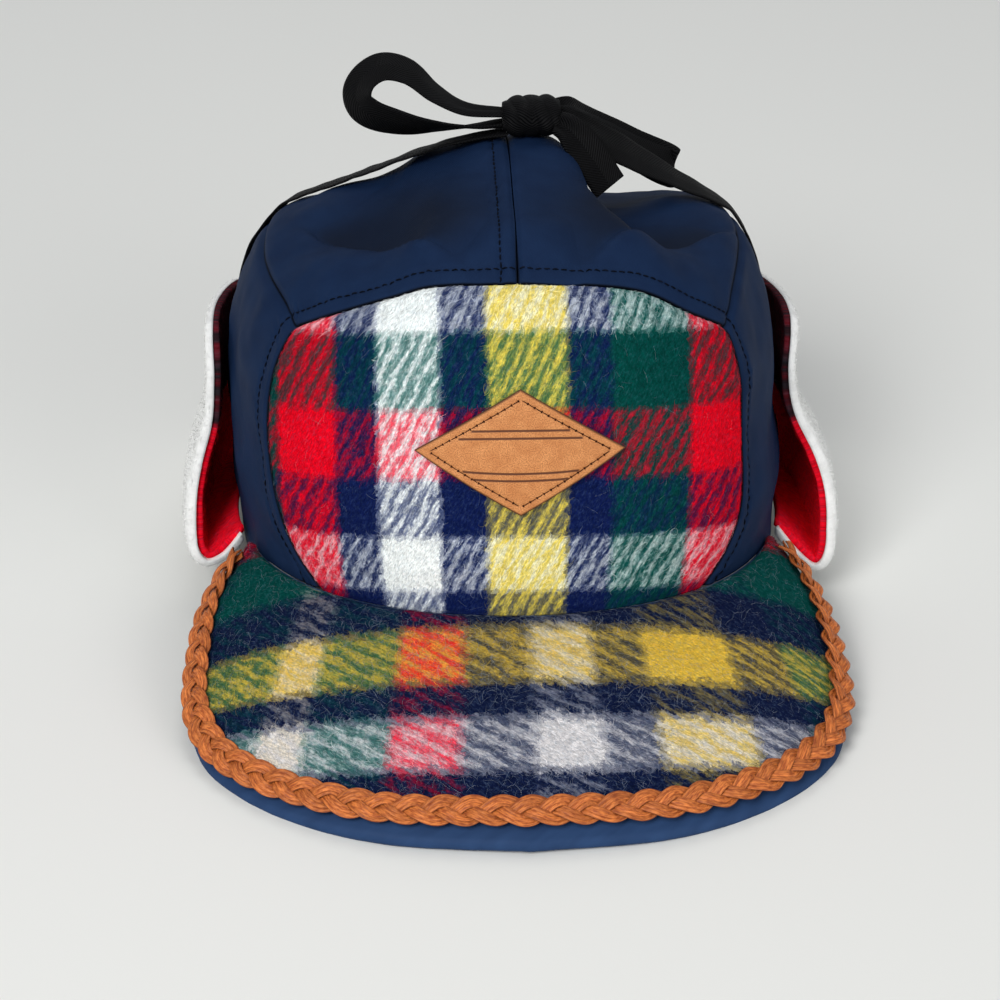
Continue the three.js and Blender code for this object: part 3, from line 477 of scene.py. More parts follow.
# The rings of a stitch: how far along it, how thick, and how far out of the cloth
STITCH_RINGS = [(0, 0.35, -0.5), (0.12, 0.8, -0.1), (0.35, 1, 0.25), (0.65, 1, 0.25),
                (0.88, 0.8, -0.1), (1, 0.35, -0.5)]


def stitches(name, line, up, seed, *, pitch, length, thick, wave, around=6):
    """A row of stitches along a line: short rounded threads that dip in at their ends.

    length is a stitch's share of the pitch, and wave how far it strays aside."""
    rng = np.random.default_rng(seed)
    far = lengths(line)
    begin = np.interp(evenly_along(line, pitch, pitch / 5, pitch * 0.7), np.arange(len(line)), far)
    count = len(begin)
    points = []
    for t, size, dip in STITCH_RINGS:
        index = np.interp(begin + t * length * pitch, far, np.arange(len(line)))
        centre, normal = on_line(line, index), unit(on_line(up, index))
        ahead = unit(on_line(line, index + 0.2) - on_line(line, index - 0.2))
        aside = np.cross(normal, ahead)
        centre = centre + normal * dip * thick + aside * (rng.normal(size=(count, 1)) * wave)
        for a in np.linspace(0, 2 * np.pi, around, endpoint=False):
            ring_way = aside * math.cos(a) * 1.1 + normal * math.sin(a)
            points.append(centre + ring_way * thick / 2 * size)
    verts = np.stack(points, 1).reshape(-1, 3)
    last = (len(STITCH_RINGS) - 1) * around
    base = (np.arange(count) * (last + around))[:, None]
    sides = []
    for ring in range(0, last, around):
        for k in range(around):
            n = (k + 1) % around
            sides.append(base + (ring + k, ring + n, ring + around + n, ring + around + k))
    caps = [base + tuple(range(around))[::-1], base + tuple(range(last, last + around))]
    weave = np.repeat(np.stack([begin, 0 * begin, rng.random(count)], -1), last + around, 0)
    return mesh_piece(name, verts, [np.concatenate(sides), np.concatenate(caps)], weave)


# Materials

def colour(red, green, blue):
    """A colour from its everyday numbers out of 255."""
    linear = [c / 255 / 12.92 if c < 10.3 else ((c / 255 + 0.055) / 1.055) ** 2.4
              for c in (red, green, blue)]
    return (*linear, 1.0)


# Dyes of the wool, as everyday numbers: yarns are mixed in these, as the eye sees them
NAVY, GREEN, RED = (20, 31, 75), (8, 68, 62), (238, 12, 36)
WHITE, YELLOW = (248, 252, 250), (238, 212, 84)
DUSK, PALE, STRAW, CREAM = (19, 27, 56), (220, 216, 216), (226, 186, 66), (228, 214, 190)
# Not dyes: the flaps' red brightened as painted light, and their green darkened as painted shade
LIT_RED, SHADED = (255, 22, 44), (6, 34, 34)
# The brightest that a dark dye is, and the tint of loose fibres over the wool
DARK_DYE, LOOSE_FIBRES = 110, (0.46, 0.54, 0.62, 1)
# The least width of the last band, in millimetres
LAST_BAND = 20


class Finish:
    """A material and short ways to add its nodes."""

    def __init__(self, name, **sockets):
        self.material = bpy.data.materials.new(name)
        self.material.use_nodes = True
        self.tree = self.material.node_tree
        self.shader = self.tree.nodes["Principled BSDF"]
        for socket, value in sockets.items():
            self.shader.inputs[socket.replace("_", " ")].default_value = value

    def add(self, kind, inputs, output=0, **settings):
        node = self.tree.nodes.new("ShaderNode" + kind)
        for key, value in settings.items():
            setattr(node, key, value)
        for key, value in inputs.items():
            if isinstance(value, bpy.types.NodeSocket):
                self.tree.links.new(value, node.inputs[key])
            else:
                node.inputs[key].default_value = value
        return node.outputs[output]

    def math(self, operation, *values):
        return self.add("Math", dict(enumerate(values)), operation=operation)

    def plus(self, first, second):
        return self.math("ADD", first, second)

    def less(self, first, second):
        return self.math("SUBTRACT", first, second)

    def times(self, first, second):
        return self.math("MULTIPLY", first, second)

    def mix(self, share, first, second, blend_type="MIX"):
        return self.add("Mix", {0: share, 6: first, 7: second}, 2, data_type="RGBA",
                        blend_type=blend_type)

    def noise(self, place, scale, detail, roughness):
        return self.add("TexNoise", {"Vector": place, "Scale": scale, "Detail": detail,
                                     "Roughness": roughness})

    def streaks(self, x, x_scale, y, y_scale, detail, roughness):
        """Noise that is drawn out along the length with the smaller scale."""
        place = self.vector(self.times(x, x_scale), self.times(y, y_scale))
        return self.noise(place, 1.0, detail, roughness)

    def weave(self):
        """A piece's own lengths across and along, and a third value, from its attribute."""
        node = self.tree.nodes.new("ShaderNodeSeparateXYZ")
        self.tree.links.new(self.add("Attribute", {}, 1, attribute_name="weave"), node.inputs[0])
        return node.outputs

    def vector(self, x, y):
        return self.add("CombineXYZ", {0: x, 1: y})

    def ramp(self, value, low, high):
        return self.add("MapRange", {0: value, 1: low, 2: high})

    def between(self, value, low, high):
        return self.add("MapRange", {0: value, 1: low, 2: high}, interpolation_type="SMOOTHSTEP")

    def within(self, value, low, high):
        """1 up to low, and fading to 0 at high."""
        return self.less(1.0, self.between(value, low, high))

    def mottle(self, shade, value, dark, light, low=0.0, high=1.0):
        """The shade times dark where the value is low, and times light where it is high."""
        amount = self.add("MapRange", {0: value, 1: low, 2: high, 3: dark, 4: light})
        return self.mix(1.0, shade, amount, "MULTIPLY")

    def bands(self, value, stops):
        """A colour by a length in millimetres, from bands that each start where the last ends."""
        low, high = stops[0][0], stops[-1][0] + LAST_BAND
        node = self.tree.nodes.new("ShaderNodeValToRGB")
        node.color_ramp.interpolation = "CONSTANT"
        self.tree.links.new(self.ramp(value, low, high), node.inputs[0])
        marks = node.color_ramp.elements
        while len(marks) < len(stops):
            marks.new(0.5)
        for mark, (start, dye) in zip(marks, stops):
            mark.position = (start - low) / (high - low)
            mark.color = (*(c / 255 for c in dye), 1)
        return node.outputs[0]

    def paint(self, shade):
        self.tree.links.new(shade, self.shader.inputs["Base Color"])

    def bump(self, height, strength, distance):
        normal = self.add("Bump", {"Height": height, "Strength": strength, "Distance": distance})
        self.tree.links.new(normal, self.shader.inputs["Normal"])


def plaid(name, warp, weft, slant, pitch=3.4, fuzz=1.0, even=0.38, contrast=0.35,
          cover=None, haze=0.36):
    """Brushed plaid wool. warp and weft are its bands across and along, slant the twill's lean.

    pitch is the twill's spacing and contrast its strength, even is how much of the weft shows
    and cover how much of its dark rows does, fuzz is how far the bands' edges stray, and haze
    how much loose fibre lies over them."""
    f = Finish(name, Roughness=0.95, Specular_IOR_Level=0.03)
    x, y, own = f.weave()
    flat = f.vector(x, y)

    def frayed(length, place):
        stray = f.noise(place, 0.4, 6.0, 0.8)
        return f.plus(length, f.times(f.less(stray, 0.5), 6.0 * fuzz))

    def soft_bands(length, stops):
        near, far = (f.bands(f.plus(length, by), stops) for by in (-0.55 * fuzz, 0.55 * fuzz))
        return f.mix(0.5, near, far)

    across = frayed(x, flat)
    along = frayed(y, f.vector(f.plus(x, 41.0), y))
    # Dark rows may cover the warp more than pale ones
    amounts = [(start, [255 * (cover if cover and max(dye) < DARK_DYE else even)] * 3)
               for start, dye in weft]
    weft_share = f.add("SeparateXYZ", {0: soft_bands(along, amounts)})
    lean = math.radians(slant)
    ahead = f.plus(f.times(x, math.cos(lean)), f.times(y, math.sin(lean)))
    aside = f.less(f.times(x, math.sin(lean)), f.times(y, math.cos(lean)))
    # The twill's strokes, broken up and blurred by the brushing
    wander = f.times(f.streaks(aside, 0.35, ahead, 0.12, 2.0, 0.5), 1.6)
    broken = f.times(f.noise(flat, 0.8, 3.0, 0.7), 0.9)
    phase = f.plus(f.times(aside, 1 / pitch), f.plus(wander, broken))
    lines = f.times(f.math("SINE", f.times(phase, 2 * math.pi)), 0.62)
    strokes = f.times(f.less(f.streaks(aside, 1.5, ahead, 0.28, 4.0, 0.65), 0.5), 4.2)
    twill = f.plus(f.plus(lines, strokes), f.times(f.less(own, 0.5), 1.3))
    twill = f.add("MapRange", {0: twill, 1: -1.1, 2: 1.1, 3: -contrast, 4: contrast},
                  interpolation_type="SMOOTHSTEP")
    share = f.add("Clamp", {0: f.plus(twill, weft_share)})
    shade = f.mix(share, soft_bands(across, warp), soft_bands(along, weft))
    hairs = f.streaks(aside, 2.4, ahead, 0.7, 4.0, 0.75)
    shade = f.mottle(shade, hairs, 0.74, 1.2, 0.3, 0.7)
    shade = f.mottle(shade, own, 0.84, 1.18)
    wisps = f.between(f.streaks(aside, 1.3, ahead, 0.6, 6.0, 0.85), 0.46, 0.7)
    shade = f.mix(f.times(wisps, haze), shade, LOOSE_FIBRES)
    f.paint(f.add("Gamma", {0: shade, 1: 2.2}))
    f.bump(hairs, 0.4, 0.0005)
    return f.material


def nylon():
    f = Finish("navy_nylon", Roughness=0.62, Specular_IOR_Level=0.05)
    x, y, inside = f.weave()
    first = f.math("SINE", f.times(f.plus(x, f.times(y, 0.6)), 9.5))
    second = f.math("SINE", f.times(f.less(y, f.times(x, 0.6)), 9.5))
    cross = f.times(first, second)
    cloud = f.noise(f.vector(x, y), 0.09, 3.0, 0.5)
    shade = f.mix(f.ramp(cloud, 0.3, 0.7), colour(19, 36, 65), colour(23, 42, 73))
    shade = f.mottle(shade, cross, 0.86, 1.12, -1.0)
    # Painted shade: near black in the seams' grooves, within 0.7 mm of a panel's edge
    shade = f.mix(f.between(inside, 0.0, 0.7), colour(5, 9, 18), shade)
    # Painted shade, dark and greyish, where the cloth falls in behind a fold
    shade = f.mix(f.times(f.between(inside, 3.0, 12.0), 0.65), shade, colour(18, 22, 31))
    f.paint(shade)
    f.bump(cross, 0.22, 0.0003)
    return f.material


def visor_cloth():
    f = Finish("visor_nylon", Roughness=0.6, Specular_IOR_Level=0.1)
    x, y, _ = f.weave()
    place = f.vector(x, y)
    cloud = f.noise(place, 0.12, 3.0, 0.5)
    f.paint(f.mix(f.ramp(cloud, 0.3, 0.7), colour(37, 60, 96), colour(46, 72, 112)))
    f.bump(f.noise(place, 4.0, 2.0, 0.5), 0.15, 0.0003)
    return f.material


def thread(name, shade, light):
    f = Finish(name, Roughness=0.8, Specular_IOR_Level=0.08)
    own = f.weave()[2]
    f.paint(f.mix(own, shade, light))
    return f.material


def fleece():
    f = Finish("white_fleece", Roughness=1.0, Sheen_Weight=0.1, Sheen_Roughness=0.6,
               Specular_IOR_Level=0.1)
    x, y, own = f.weave()
    lumps = f.noise(f.vector(x, y), 0.35, 5.0, 0.65)
    shade = f.mix(f.between(lumps, 0.3, 0.62), colour(234, 234, 232), colour(248, 248, 246))
    f.paint(f.mottle(shade, own, 0.96, 1.04))
    f.bump(lumps, 0.4, 0.0008)
    return f.material


# The thin rules pressed into the patch: height over its middle, half length and bow
PATCH_RULES = [(6.5, 13.0, -0.0016), (4.4, 16.5, -0.0016), (-5.4, 15.5, 0.0016),
               (-7.4, 12.5, 0.0016)]


def patch_leather():
    f = Finish("patch_leather", Roughness=0.58, Specular_IOR_Level=0.35)
    x, y, inside = f.weave()
    place = f.vector(x, y)
    spots = f.noise(place, 0.22, 4.0, 0.6)
    grain = f.noise(place, 3.2, 3.0, 0.6)
    shade = f.mix(f.between(spots, 0.3, 0.7), colour(204, 131, 74), colour(228, 157, 96))
    shade = f.mix(f.between(grain, 0.35, 0.6), colour(170, 104, 56), shade)
    off_middle = f.math("ABSOLUTE", x)
    rules = 0.0
    for height, reach, bow in PATCH_RULES:
        bowed = f.less(y, f.times(f.math("POWER", off_middle, 2.0), bow))
        rule = f.within(f.math("ABSOLUTE", f.less(bowed, height)), 0.2, 0.42)
        rule = f.times(rule, f.within(off_middle, reach, reach + 0.6))
        rules = f.math("MAXIMUM", rules, rule)
    shade = f.mix(f.times(rules, 0.92), shade, colour(78, 36, 16))
    shade = f.mix(f.times(f.within(inside, 0.05, 0.75), 0.9), shade, colour(52, 26, 14))
    f.paint(shade)
    f.bump(f.less(grain, f.times(rules, 1.5)), 0.3, 0.0003)
    return f.material


def braid_leather():
    f = Finish("braid_leather", Roughness=0.5, Specular_IOR_Level=0.3)
    x, y, own = f.weave()
    streak = f.streaks(x, 0.5, y, 4.0, 4.0, 0.6)
    shade = f.mix(f.between(streak, 0.32, 0.68), colour(150, 70, 30), colour(224, 130, 64))
    shade = f.mottle(shade, own, 0.8, 1.15)
    # Along the middle of its upper face a strip is at -0.5
    # Painted shade: each strip darker towards its edges, where the strips meet and dip under one
    # another
    edge_shade = f.between(f.math("ABSOLUTE", f.plus(y, 0.5)), 0.2, 0.5)
    f.paint(f.mix(f.times(edge_shade, 0.75), shade, colour(84, 36, 14)))
    f.bump(streak, 0.5, 0.0004)
    return f.material


def ribbon_cloth():
    f = Finish("black_ribbon", Roughness=0.6, Specular_IOR_Level=0.1)
    x, y, _ = f.weave()
    chevrons = f.plus(x, f.times(f.math("ABSOLUTE", y), 0.9))
    twill = f.math("SINE", f.times(chevrons, 6.5))
    f.paint(f.mix(f.between(twill, -0.6, 0.8), colour(2, 2, 3), colour(13, 13, 15)))
    f.bump(twill, 0.45, 0.0004)
    return f.material


WOOL_FRONT = plaid(
    "front_wool",
    [(-90, GREEN), (-68.3, RED), (-51.1, NAVY), (-39.9, WHITE), (-22.2, NAVY), (-9.6, YELLOW),
     (13.0, NAVY), (25.0, GREEN), (48.2, RED)],
    [(-20, NAVY), (7.6, WHITE), (24.2, NAVY), (41.1, RED), (60.3, GREEN), (80.5, WHITE)],
    slant=62)
WOOL_VISOR = plaid(
    "visor_wool",
    [(-130, DUSK), (-100, GREEN), (-69, CREAM), (-56, GREEN), (-33.8, RED), (-15.8, DUSK),
     (1.8, PALE), (18.9, DUSK), (33, STRAW), (58.5, DUSK), (77, GREEN)],
    [(-10, RED), (63, GREEN), (87, DUSK), (103, STRAW), (118, DUSK), (127.5, PALE),
     (140.5, DUSK)],
    slant=28, pitch=3.8, fuzz=1.6, even=0.54, contrast=0.32, cover=0.84, haze=0.5)
# The flaps' wool: a red brightened as painted light on its shaded inner face and, from a height of
# 33 up, a green darkened as painted shade
WOOL_FLAP = plaid("flap_wool", [(-120, LIT_RED), (90, RED)], [(-60, LIT_RED), (33, SHADED)],
                  slant=60, even=0.74, contrast=0.14)
NYLON = nylon()
THREAD = thread("navy_thread", colour(2, 4, 9), colour(11, 16, 30))
PATCH_THREAD = thread("patch_thread", colour(48, 22, 12), colour(74, 38, 22))
STRAY = thread("stray_hairs", colour(64, 78, 104), colour(168, 178, 194))
WHITE_FLEECE = fleece()
PATCH = patch_leather()
BRAID = braid_leather()
RIBBON = ribbon_cloth()
VISOR = visor_cloth()


def finished(piece, material, slot, *nodes):
    """Gives a piece its finish, and lets it stand for its solids."""
    piece.data.materials.clear()
    piece.data.materials.append(material)
    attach(piece, "root")
    if nodes:
        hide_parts(*nodes)


# Camera and light

# The camera is placed round the middle of the rim as worn, in millimetres
ELEVATION, AZIMUTH, DISTANCE = math.radians(19.5), math.radians(-2.3), 900.0
LENS, SENSOR, SHIFT = 103.68, 36, (-0.006, -0.002)
# What the lamps are turned to, in metres
LIT_PLACE = np.array([0, 0, 0.06])
FLOOR_SIZE, SKY, SKY_STRENGTH = 8, (0.9, 0.93, 0.97, 1), 0.33


def put(name, data, right, up, back, place):
    """Adds a camera or a lamp that looks the other way from back."""
    thing = bpy.data.objects.new(name, data)
    bpy.context.scene.collection.objects.link(thing)
    thing.matrix_world = Matrix([*np.stack([right, up, back, place], 1).tolist(), [0, 0, 0, 1]])
    return thing


def photo_camera():
    eye = DISTANCE * np.array([math.sin(AZIMUTH) * math.cos(ELEVATION),
                               -math.cos(AZIMUTH) * math.cos(ELEVATION), math.sin(ELEVATION)])
    back = eye / DISTANCE
    right = unit(np.cross((0, 0, 1), back))
    up = np.cross(back, right)
    data = bpy.data.cameras.new("camera")
    data.lens, data.sensor_width = LENS, SENSOR
    data.shift_x, data.shift_y = SHIFT
    place = (TURN @ eye + REST_PLACE) / 1000
    return put("camera", data, TURN @ right, TURN @ up, TURN @ back, place)


def soft_light(name, place, size, power):
    data = bpy.data.lights.new(name, "AREA")
    data.size, data.energy = size, power
    back = unit(place - LIT_PLACE)
    right = unit(np.cross((0, 0.01, 1), back))
    put(name, data, right, np.cross(back, right), back, place)


scene = bpy.context.scene
scene.camera = photo_camera()
soft_light("key", (-0.75, -1.3, 1.3), 0.8, 23)
soft_light("fill", (1.2, -1.3, 0.8), 1.0, 9)
soft_light("top", (0.1, 0.7, 1.6), 1.0, 5)
scene.world = bpy.data.worlds.new("studio")
scene.world.use_nodes = True
sky = scene.world.node_tree.nodes["Background"]
sky.inputs["Color"].default_value = SKY
sky.inputs["Strength"].default_value = SKY_STRENGTH
scene.view_settings.view_transform = "Standard"
bpy.ops.mesh.primitive_plane_add(size=FLOOR_SIZE, location=(0, 0, 0))
floor = bpy.context.object
floor.name = "floor"
paper = Finish("pale_paper", Roughness=0.9, Base_Color=colour(236, 236, 232))
floor.data.materials.append(paper.material)


# Crown

# Where the top falls in behind a sharp fold: the fold's two ends and the hollow's depth
FOLDS = {-1: ((-24, -70), (-58, -28), 7.5), 1: ((26, -72), (64, -24), 7.0)}
# How far back a hollow reaches, how sharply it steps down and how far along the fold it goes
HOLLOW_REACH, HOLLOW_STEP, HOLLOW_ENDS = 26, 2.6, 1.15
# A place behind the folds, so that each hollow lies on the side towards it
BEHIND_FOLDS = np.array([0, 20])
# The part of a top panel's outer edge that runs along the shoulder, before the back seam
SHOULDER_PART = 14 / 26
# Beside the visor's corner the hem drops: how far, round which angle and up to what height
HEM_DROP, HEM_MIDDLE, HEM_HALF, HEM_HEIGHT = 4.5, 71, 9, 5
# A stitch row's valley, and the gathers beside it
ROW_DEPTH, ROW_WIDTH, GATHER, GATHER_PITCH, GATHER_REACH = 0.45, 0.8, 0.34, 4.2, 2.6
# Large and small unevenness of the nylon, and how far from its edges it begins
BILLOW, CREASE, CALM_EDGE = 0.75, 0.13, 6
# How far from a seam the distance is kept for the nylon's painted seam shade, and how strongly a
# hollow's depth adds painted shade
SEAM_SHADE_REACH, HOLLOW_SHADE = 3, 1.6
# How far the fibres and the loose hairs stand up from the wool
NAP_RISE, STRAY_RISE = (0.1, 0.5), (0.3, 0.9)
# On the front, the bands' spread at the rim and the height that it ends at, and the rows' sag
BAND_SPREAD, SPREAD_TOP, ROW_SAG = 0.05, 30, 0.0019


def seam(rows, side):
    return lambda t: (disc_point(follow(rows, "angle", t, "step"), follow(rows, "share", t, "step"))
                      * (side, 1))


def rim(first, last, side):
    return lambda t: disc_point(first + (last - first) * t, 0 * t) * (side, 1)


def both_sides(rows):
    right, left = seam(rows[-1], -1), seam(rows[1], 1)
    return lambda t: np.where((t < 0.5)[..., None], right(np.clip(1 - 2 * t, 0, 1)),
                              left(np.clip(2 * t - 1, 0, 1)))


def crown_grid(bottom, top, start, end, columns, rows):
    """A panel of the crown, spread smoothly between its four seams on the disc."""
    s, t = np.meshgrid(eased(columns), eased(rows), indexing="ij")
    u, v = s[..., None], t[..., None]
    zero, one = np.zeros(1), np.ones(1)
    low = bottom(zero) * (1 - u) + bottom(one) * u
    high = top(zero) * (1 - u) + top(one) * u
    disc = (start(t) * (1 - u) + end(t) * u + bottom(s) * (1 - v) + top(s) * v
            - low * (1 - v) - high * v)
    points, normals = crown_point(disc), crown_normal(disc)
    on_rim = np.linalg.norm(disc, axis=-1) > 0.9999
    normals[on_rim, 2] = 0
    normals = unit(normals)
    tucked = points.copy()
    half = GAP / 2
    tucked[0] += unit(points[1] - points[0]) * half
    tucked[-1] += unit(points[-2] - points[-1]) * half
    for j, other in ((0, 1), (-1, -2)):
        pull = unit(points[:, other] - points[:, j]) * half
        tucked[:, j] += np.where(on_rim[:, j, None], 0, pull)
    return tucked, normals


def valley(far, depth, width):
    return -depth * np.exp(-((far / width) ** 2))


def pucker(points, far):
    """Small gathers of the cloth beside a row of stitches."""
    along = (points[..., 0] - 0.7 * points[..., 1] + 0.9 * points[..., 2]) / GATHER_PITCH
    return (GATHER * np.sin(2 * np.pi * along + 2 * np.sin(along))
            * np.exp(-((far / GATHER_REACH) ** 2)) * (0.6 + 0.4 * np.sin(along * 1.7)))


def hollow(points, one, other, depth):
    """How deep the cloth falls in behind a fold from one place to the other."""
    one, other = np.array(one, float), np.array(other, float)
    run = unit(other - one)
    behind = np.array([-run[1], run[0]])
    behind = behind * np.sign(behind @ (BEHIND_FOLDS - one))
    place = points[..., :2] - (one + other) / 2
    back, along = place @ behind, place @ run / np.linalg.norm(other - one) * 2
    step = np.where(back > 0, 1 - np.exp(-((back / HOLLOW_STEP) ** 2)), 0)
    return (depth * step * np.exp(-((back / HOLLOW_REACH) ** 2))
            * np.exp(-((along / HOLLOW_ENDS) ** 4)))


# Each panel comes with its seams, by the edge's name, with the depth and width of their valley,
# and its rows of stitches, with how far they are from that edge

def side_panel(side):
    points, normals = crown_grid(
        rim(FRONT_SIDE[side]["angle"][0], BACK_SEAM["angle"][0], side),
        seam(SHOULDER[side], side), seam(FRONT_SIDE[side], side), seam(BACK_SEAM, side), 96, 84)
    # Between the visor's corner and the flap the hem hangs a little lower
    round_by = np.degrees(np.arctan2(np.abs(points[..., 0]) / HALF_WIDTH,
                                     -points[..., 1] / HALF_LENGTH))
    points[..., 2] -= (HEM_DROP * np.exp(-(((round_by - HEM_MIDDLE) / HEM_HALF) ** 4))
                       * np.exp(-((points[..., 2] / HEM_HEIGHT) ** 2)))
    seams = {"start": (0.75, 0.8), "top": (1.3, 1.6), "end": (0.9, 1.3)}
    return points, normals, seams, {"start": 5.6 if side < 0 else 4.6}


def top_panel(side):
    shoulder, back = seam(SHOULDER[side], side), seam(BACK_SEAM, side)
    front, behind = disc_point(0, FRONT_TOP[1]["share"][0]), disc_point(180, 0)

    def middle(t):
        return front + (behind - front) * t[..., None]

    def outer(t):
        first = shoulder(np.clip(t / SHOULDER_PART, 0, 1))
        second = back(np.clip((1 - t) / (1 - SHOULDER_PART), 0, 1))
        return np.where((t < SHOULDER_PART)[..., None], first, second)

    points, normals = crown_grid(seam(FRONT_TOP[side], side),
                                 rim(180, BACK_SEAM["angle"][0], side), middle, outer, 74, 150)
    seams = {"start": (0.8, 1.0), "bottom": (0.6, 0.7), "end": (0.9, 1.3)}
    # The middle seam is sewn down on one side only
    rows = {"bottom": 5.0, "start": 4.8} if side < 0 else {"bottom": 5.0}
    return points, normals, seams, rows


def nylon_panel(kind, word, side):
    points, normals, seams, rows = (side_panel if kind == "side" else top_panel)(side)
    fars, nearest = from_edges(points)
    fallen = hollow(points, *FOLDS[side]) if kind == "top" else 0.0
    lift = BILLOW * waves(points, 3 + side, 20, 60) + CREASE * waves(points, 9, 8, 16)
    lift = lift * np.clip(nearest / CALM_EDGE, 0, 1) - fallen
    for edge, (depth, width) in seams.items():
        lift = lift + valley(fars[edge], depth, width)
    for edge, far in rows.items():
        off = fars[edge] - far
        lift = lift + valley(off, ROW_DEPTH, ROW_WIDTH) + pucker(points, off)
    outer = points + normals * lift[..., None]
    # The third value holds the distance from the nearest seam and the hollows' depth, both for
    # painted shade
    weave = np.stack([fars["start"], fars["bottom"],
                      np.minimum(nearest, SEAM_SHADE_REACH) + HOLLOW_SHADE * fallen], -1)
    piece = shell(f"{kind}_{word}_nylon", outer, points - normals * CLOTH, weave)
    finished(piece, NYLON, "navy_nylon", f"{kind}_panel_{word}")
    up = outward(outer, normals)
    sewn = []
    for n, (edge, far) in enumerate(rows.items()):
        line, line_up = parallel(outer, up, edge, far, 0.12)
        sewn.append(stitches(f"{kind}_{word}_stitches_{n}", line, line_up, n,
                             pitch=2.4, length=0.8, thick=0.42, wave=0.07))
    finished(join(sewn), THREAD, "navy_nylon")


def front_panel():
    points, normals = crown_grid(
        rim(-FRONT_SIDE[-1]["angle"][0], FRONT_SIDE[1]["angle"][0], 1), both_sides(FRONT_TOP),
        seam(FRONT_SIDE[-1], -1), seam(FRONT_SIDE[1], 1), 130, 84)
    fars, nearest = from_edges(points)
    lift = 0.3 * waves(points, 21, 9, 30) * np.clip(nearest / 5, 0, 1)
    for edge in ("start", "end", "top"):
        lift = lift + valley(fars[edge], 1.1, 1.6)
    outer = points + normals * lift[..., None]
    # The bands spread a little towards the rim, and the rows sag to the sides
    spread = 1 + BAND_SPREAD * np.clip(1 - points[..., 2] / SPREAD_TOP, 0, 1) ** 2
    weave = np.stack([points[..., 0] * spread, points[..., 2] + ROW_SAG * points[..., 0] ** 2,
                      np.full(points.shape[:2], 0.5)], -1)
    wool = shell("front_wool", outer, points - normals * CLOTH, weave)
    fibres = nap("front_nap", outer, normals, weave, count=22000, seed=5, length=(1.2, 3.4),
                 width=(0.055, 0.1), lift=NAP_RISE, lean=62, spread=34)
    finished(join([wool, fibres]), WOOL_FRONT, "plaid_wool", "front_panel")
    strays = nap("front_strays", outer, normals, weave, count=420, seed=11, length=(2, 5.5),
                 width=(0.02, 0.03), lift=STRAY_RISE, lean=62, spread=60)
    finished(strays, STRAY, "plaid_wool")


for word, side in SIDES:
    for kind in ("side", "top"):
        nylon_panel(kind, word, side)
front_panel()


# Leather patch

# The distance between two edges of the diamond that face each other
PATCH_ACROSS = PATCH_WIDTH * PATCH_HEIGHT / 2 / math.hypot(PATCH_WIDTH / 2, PATCH_HEIGHT / 2)
# How far in from an edge the patch is stitched
PATCH_STITCHES = 2.3


def patch_face(a, b):
    """A place on the patch: a and b run along its two pairs of edges, from 0 to 1."""
    bend = HALF_WIDTH**2 / HALF_LENGTH
    aside_by = bend * np.sin((a + b - 1) * PATCH_WIDTH / 2 / bend)
    disc = front_point(aside_by, PATCH_CENTRE + (b - a) * PATCH_HEIGHT / 2)
    return crown_point(disc), crown_normal(disc)


def leather_patch():
    steps = eased(64, 0.7)
    a, b = np.meshgrid(steps, steps, indexing="ij")
    points, normals = patch_face(a, b)
    inside = np.minimum.reduce([a, 1 - a, b, 1 - b]) * PATCH_ACROSS
    weave = np.stack([(a + b - 1) * PATCH_WIDTH / 2, (b - a) * PATCH_HEIGHT / 2, inside], -1)
    lift = (GAP + PATCH_THICKNESS + valley(inside, 0.45, 0.45)
            + valley(inside - PATCH_STITCHES, 0.16, 0.42) + 0.05 * waves(points, 4, 6, 20))
    piece = shell("diamond_patch", points + normals * lift[..., None], points + normals * GAP, weave)
    finished(piece, PATCH, "patch_leather", "leather_patch")


def patch_seam():
    low = PATCH_STITCHES / PATCH_ACROSS
    high = 1 - low
    corners = [(low, low), (high, low), (high, high), (low, high)]
    t = np.linspace(0, 1, 60)
    sewn = []
    for n, ((a0, b0), (a1, b1)) in enumerate(zip(corners, corners[1:] + corners[:1])):
        line, up = patch_face(a0 + (a1 - a0) * t, b0 + (b1 - b0) * t)
        line = line + up * (GAP + PATCH_THICKNESS - 0.05)
        for kind, length, thick in (("stitches", 1.0, 0.22), ("holes", 0.26, 0.62)):
            sewn.append(stitches(f"patch_{kind}_{n}", line, up, n, pitch=2.2, length=length,
                                 thick=thick, wave=0.02))
    finished(join(sewn), PATCH_THREAD, "patch_leather")


leather_patch()
patch_seam()


# Visor

# The board's edge: its flat share of the depth, and how far its rounded nose stands past that
BOARD_FLAT, BOARD_NOSE = 0.965, 0.035
# The length in millimetres that the depth stands for in the board's weave
BOARD_LENGTH = 60
# Bare cloth left between the cover and the braid's border, and the most of the depth it takes
COVER_SHORT, COVER_MOST_SHORT = 2.4, 0.4
# The cover's bands fan out from a place this far ahead, and its rows bend round the crown
FAN, FAN_START, ROW_BEND = 0.0042, 105, 0.0023


def visor_inner(share):
    angle = share * VISOR_CORNER
    return crown_point(disc_point(angle, 0 * share)) + outwards(angle) * GAP


def visor_outer(share):
    s = np.abs(share)
    return np.stack([VISOR_HALF * follow(VISOR_EDGE, "x", s) * np.sign(share),
                     -HALF_LENGTH - VISOR_REACH * follow(VISOR_EDGE, "ahead", s),
                     -VISOR_DROP * follow(VISOR_EDGE, "drop", s)], -1)


def visor_point(share, depth):
    d = np.asarray(depth)[..., None]
    point = visor_inner(share) * (1 - d) + visor_outer(share) * d
    point[..., 2] += VISOR_ARCH * np.sin(np.pi * depth)
    return point


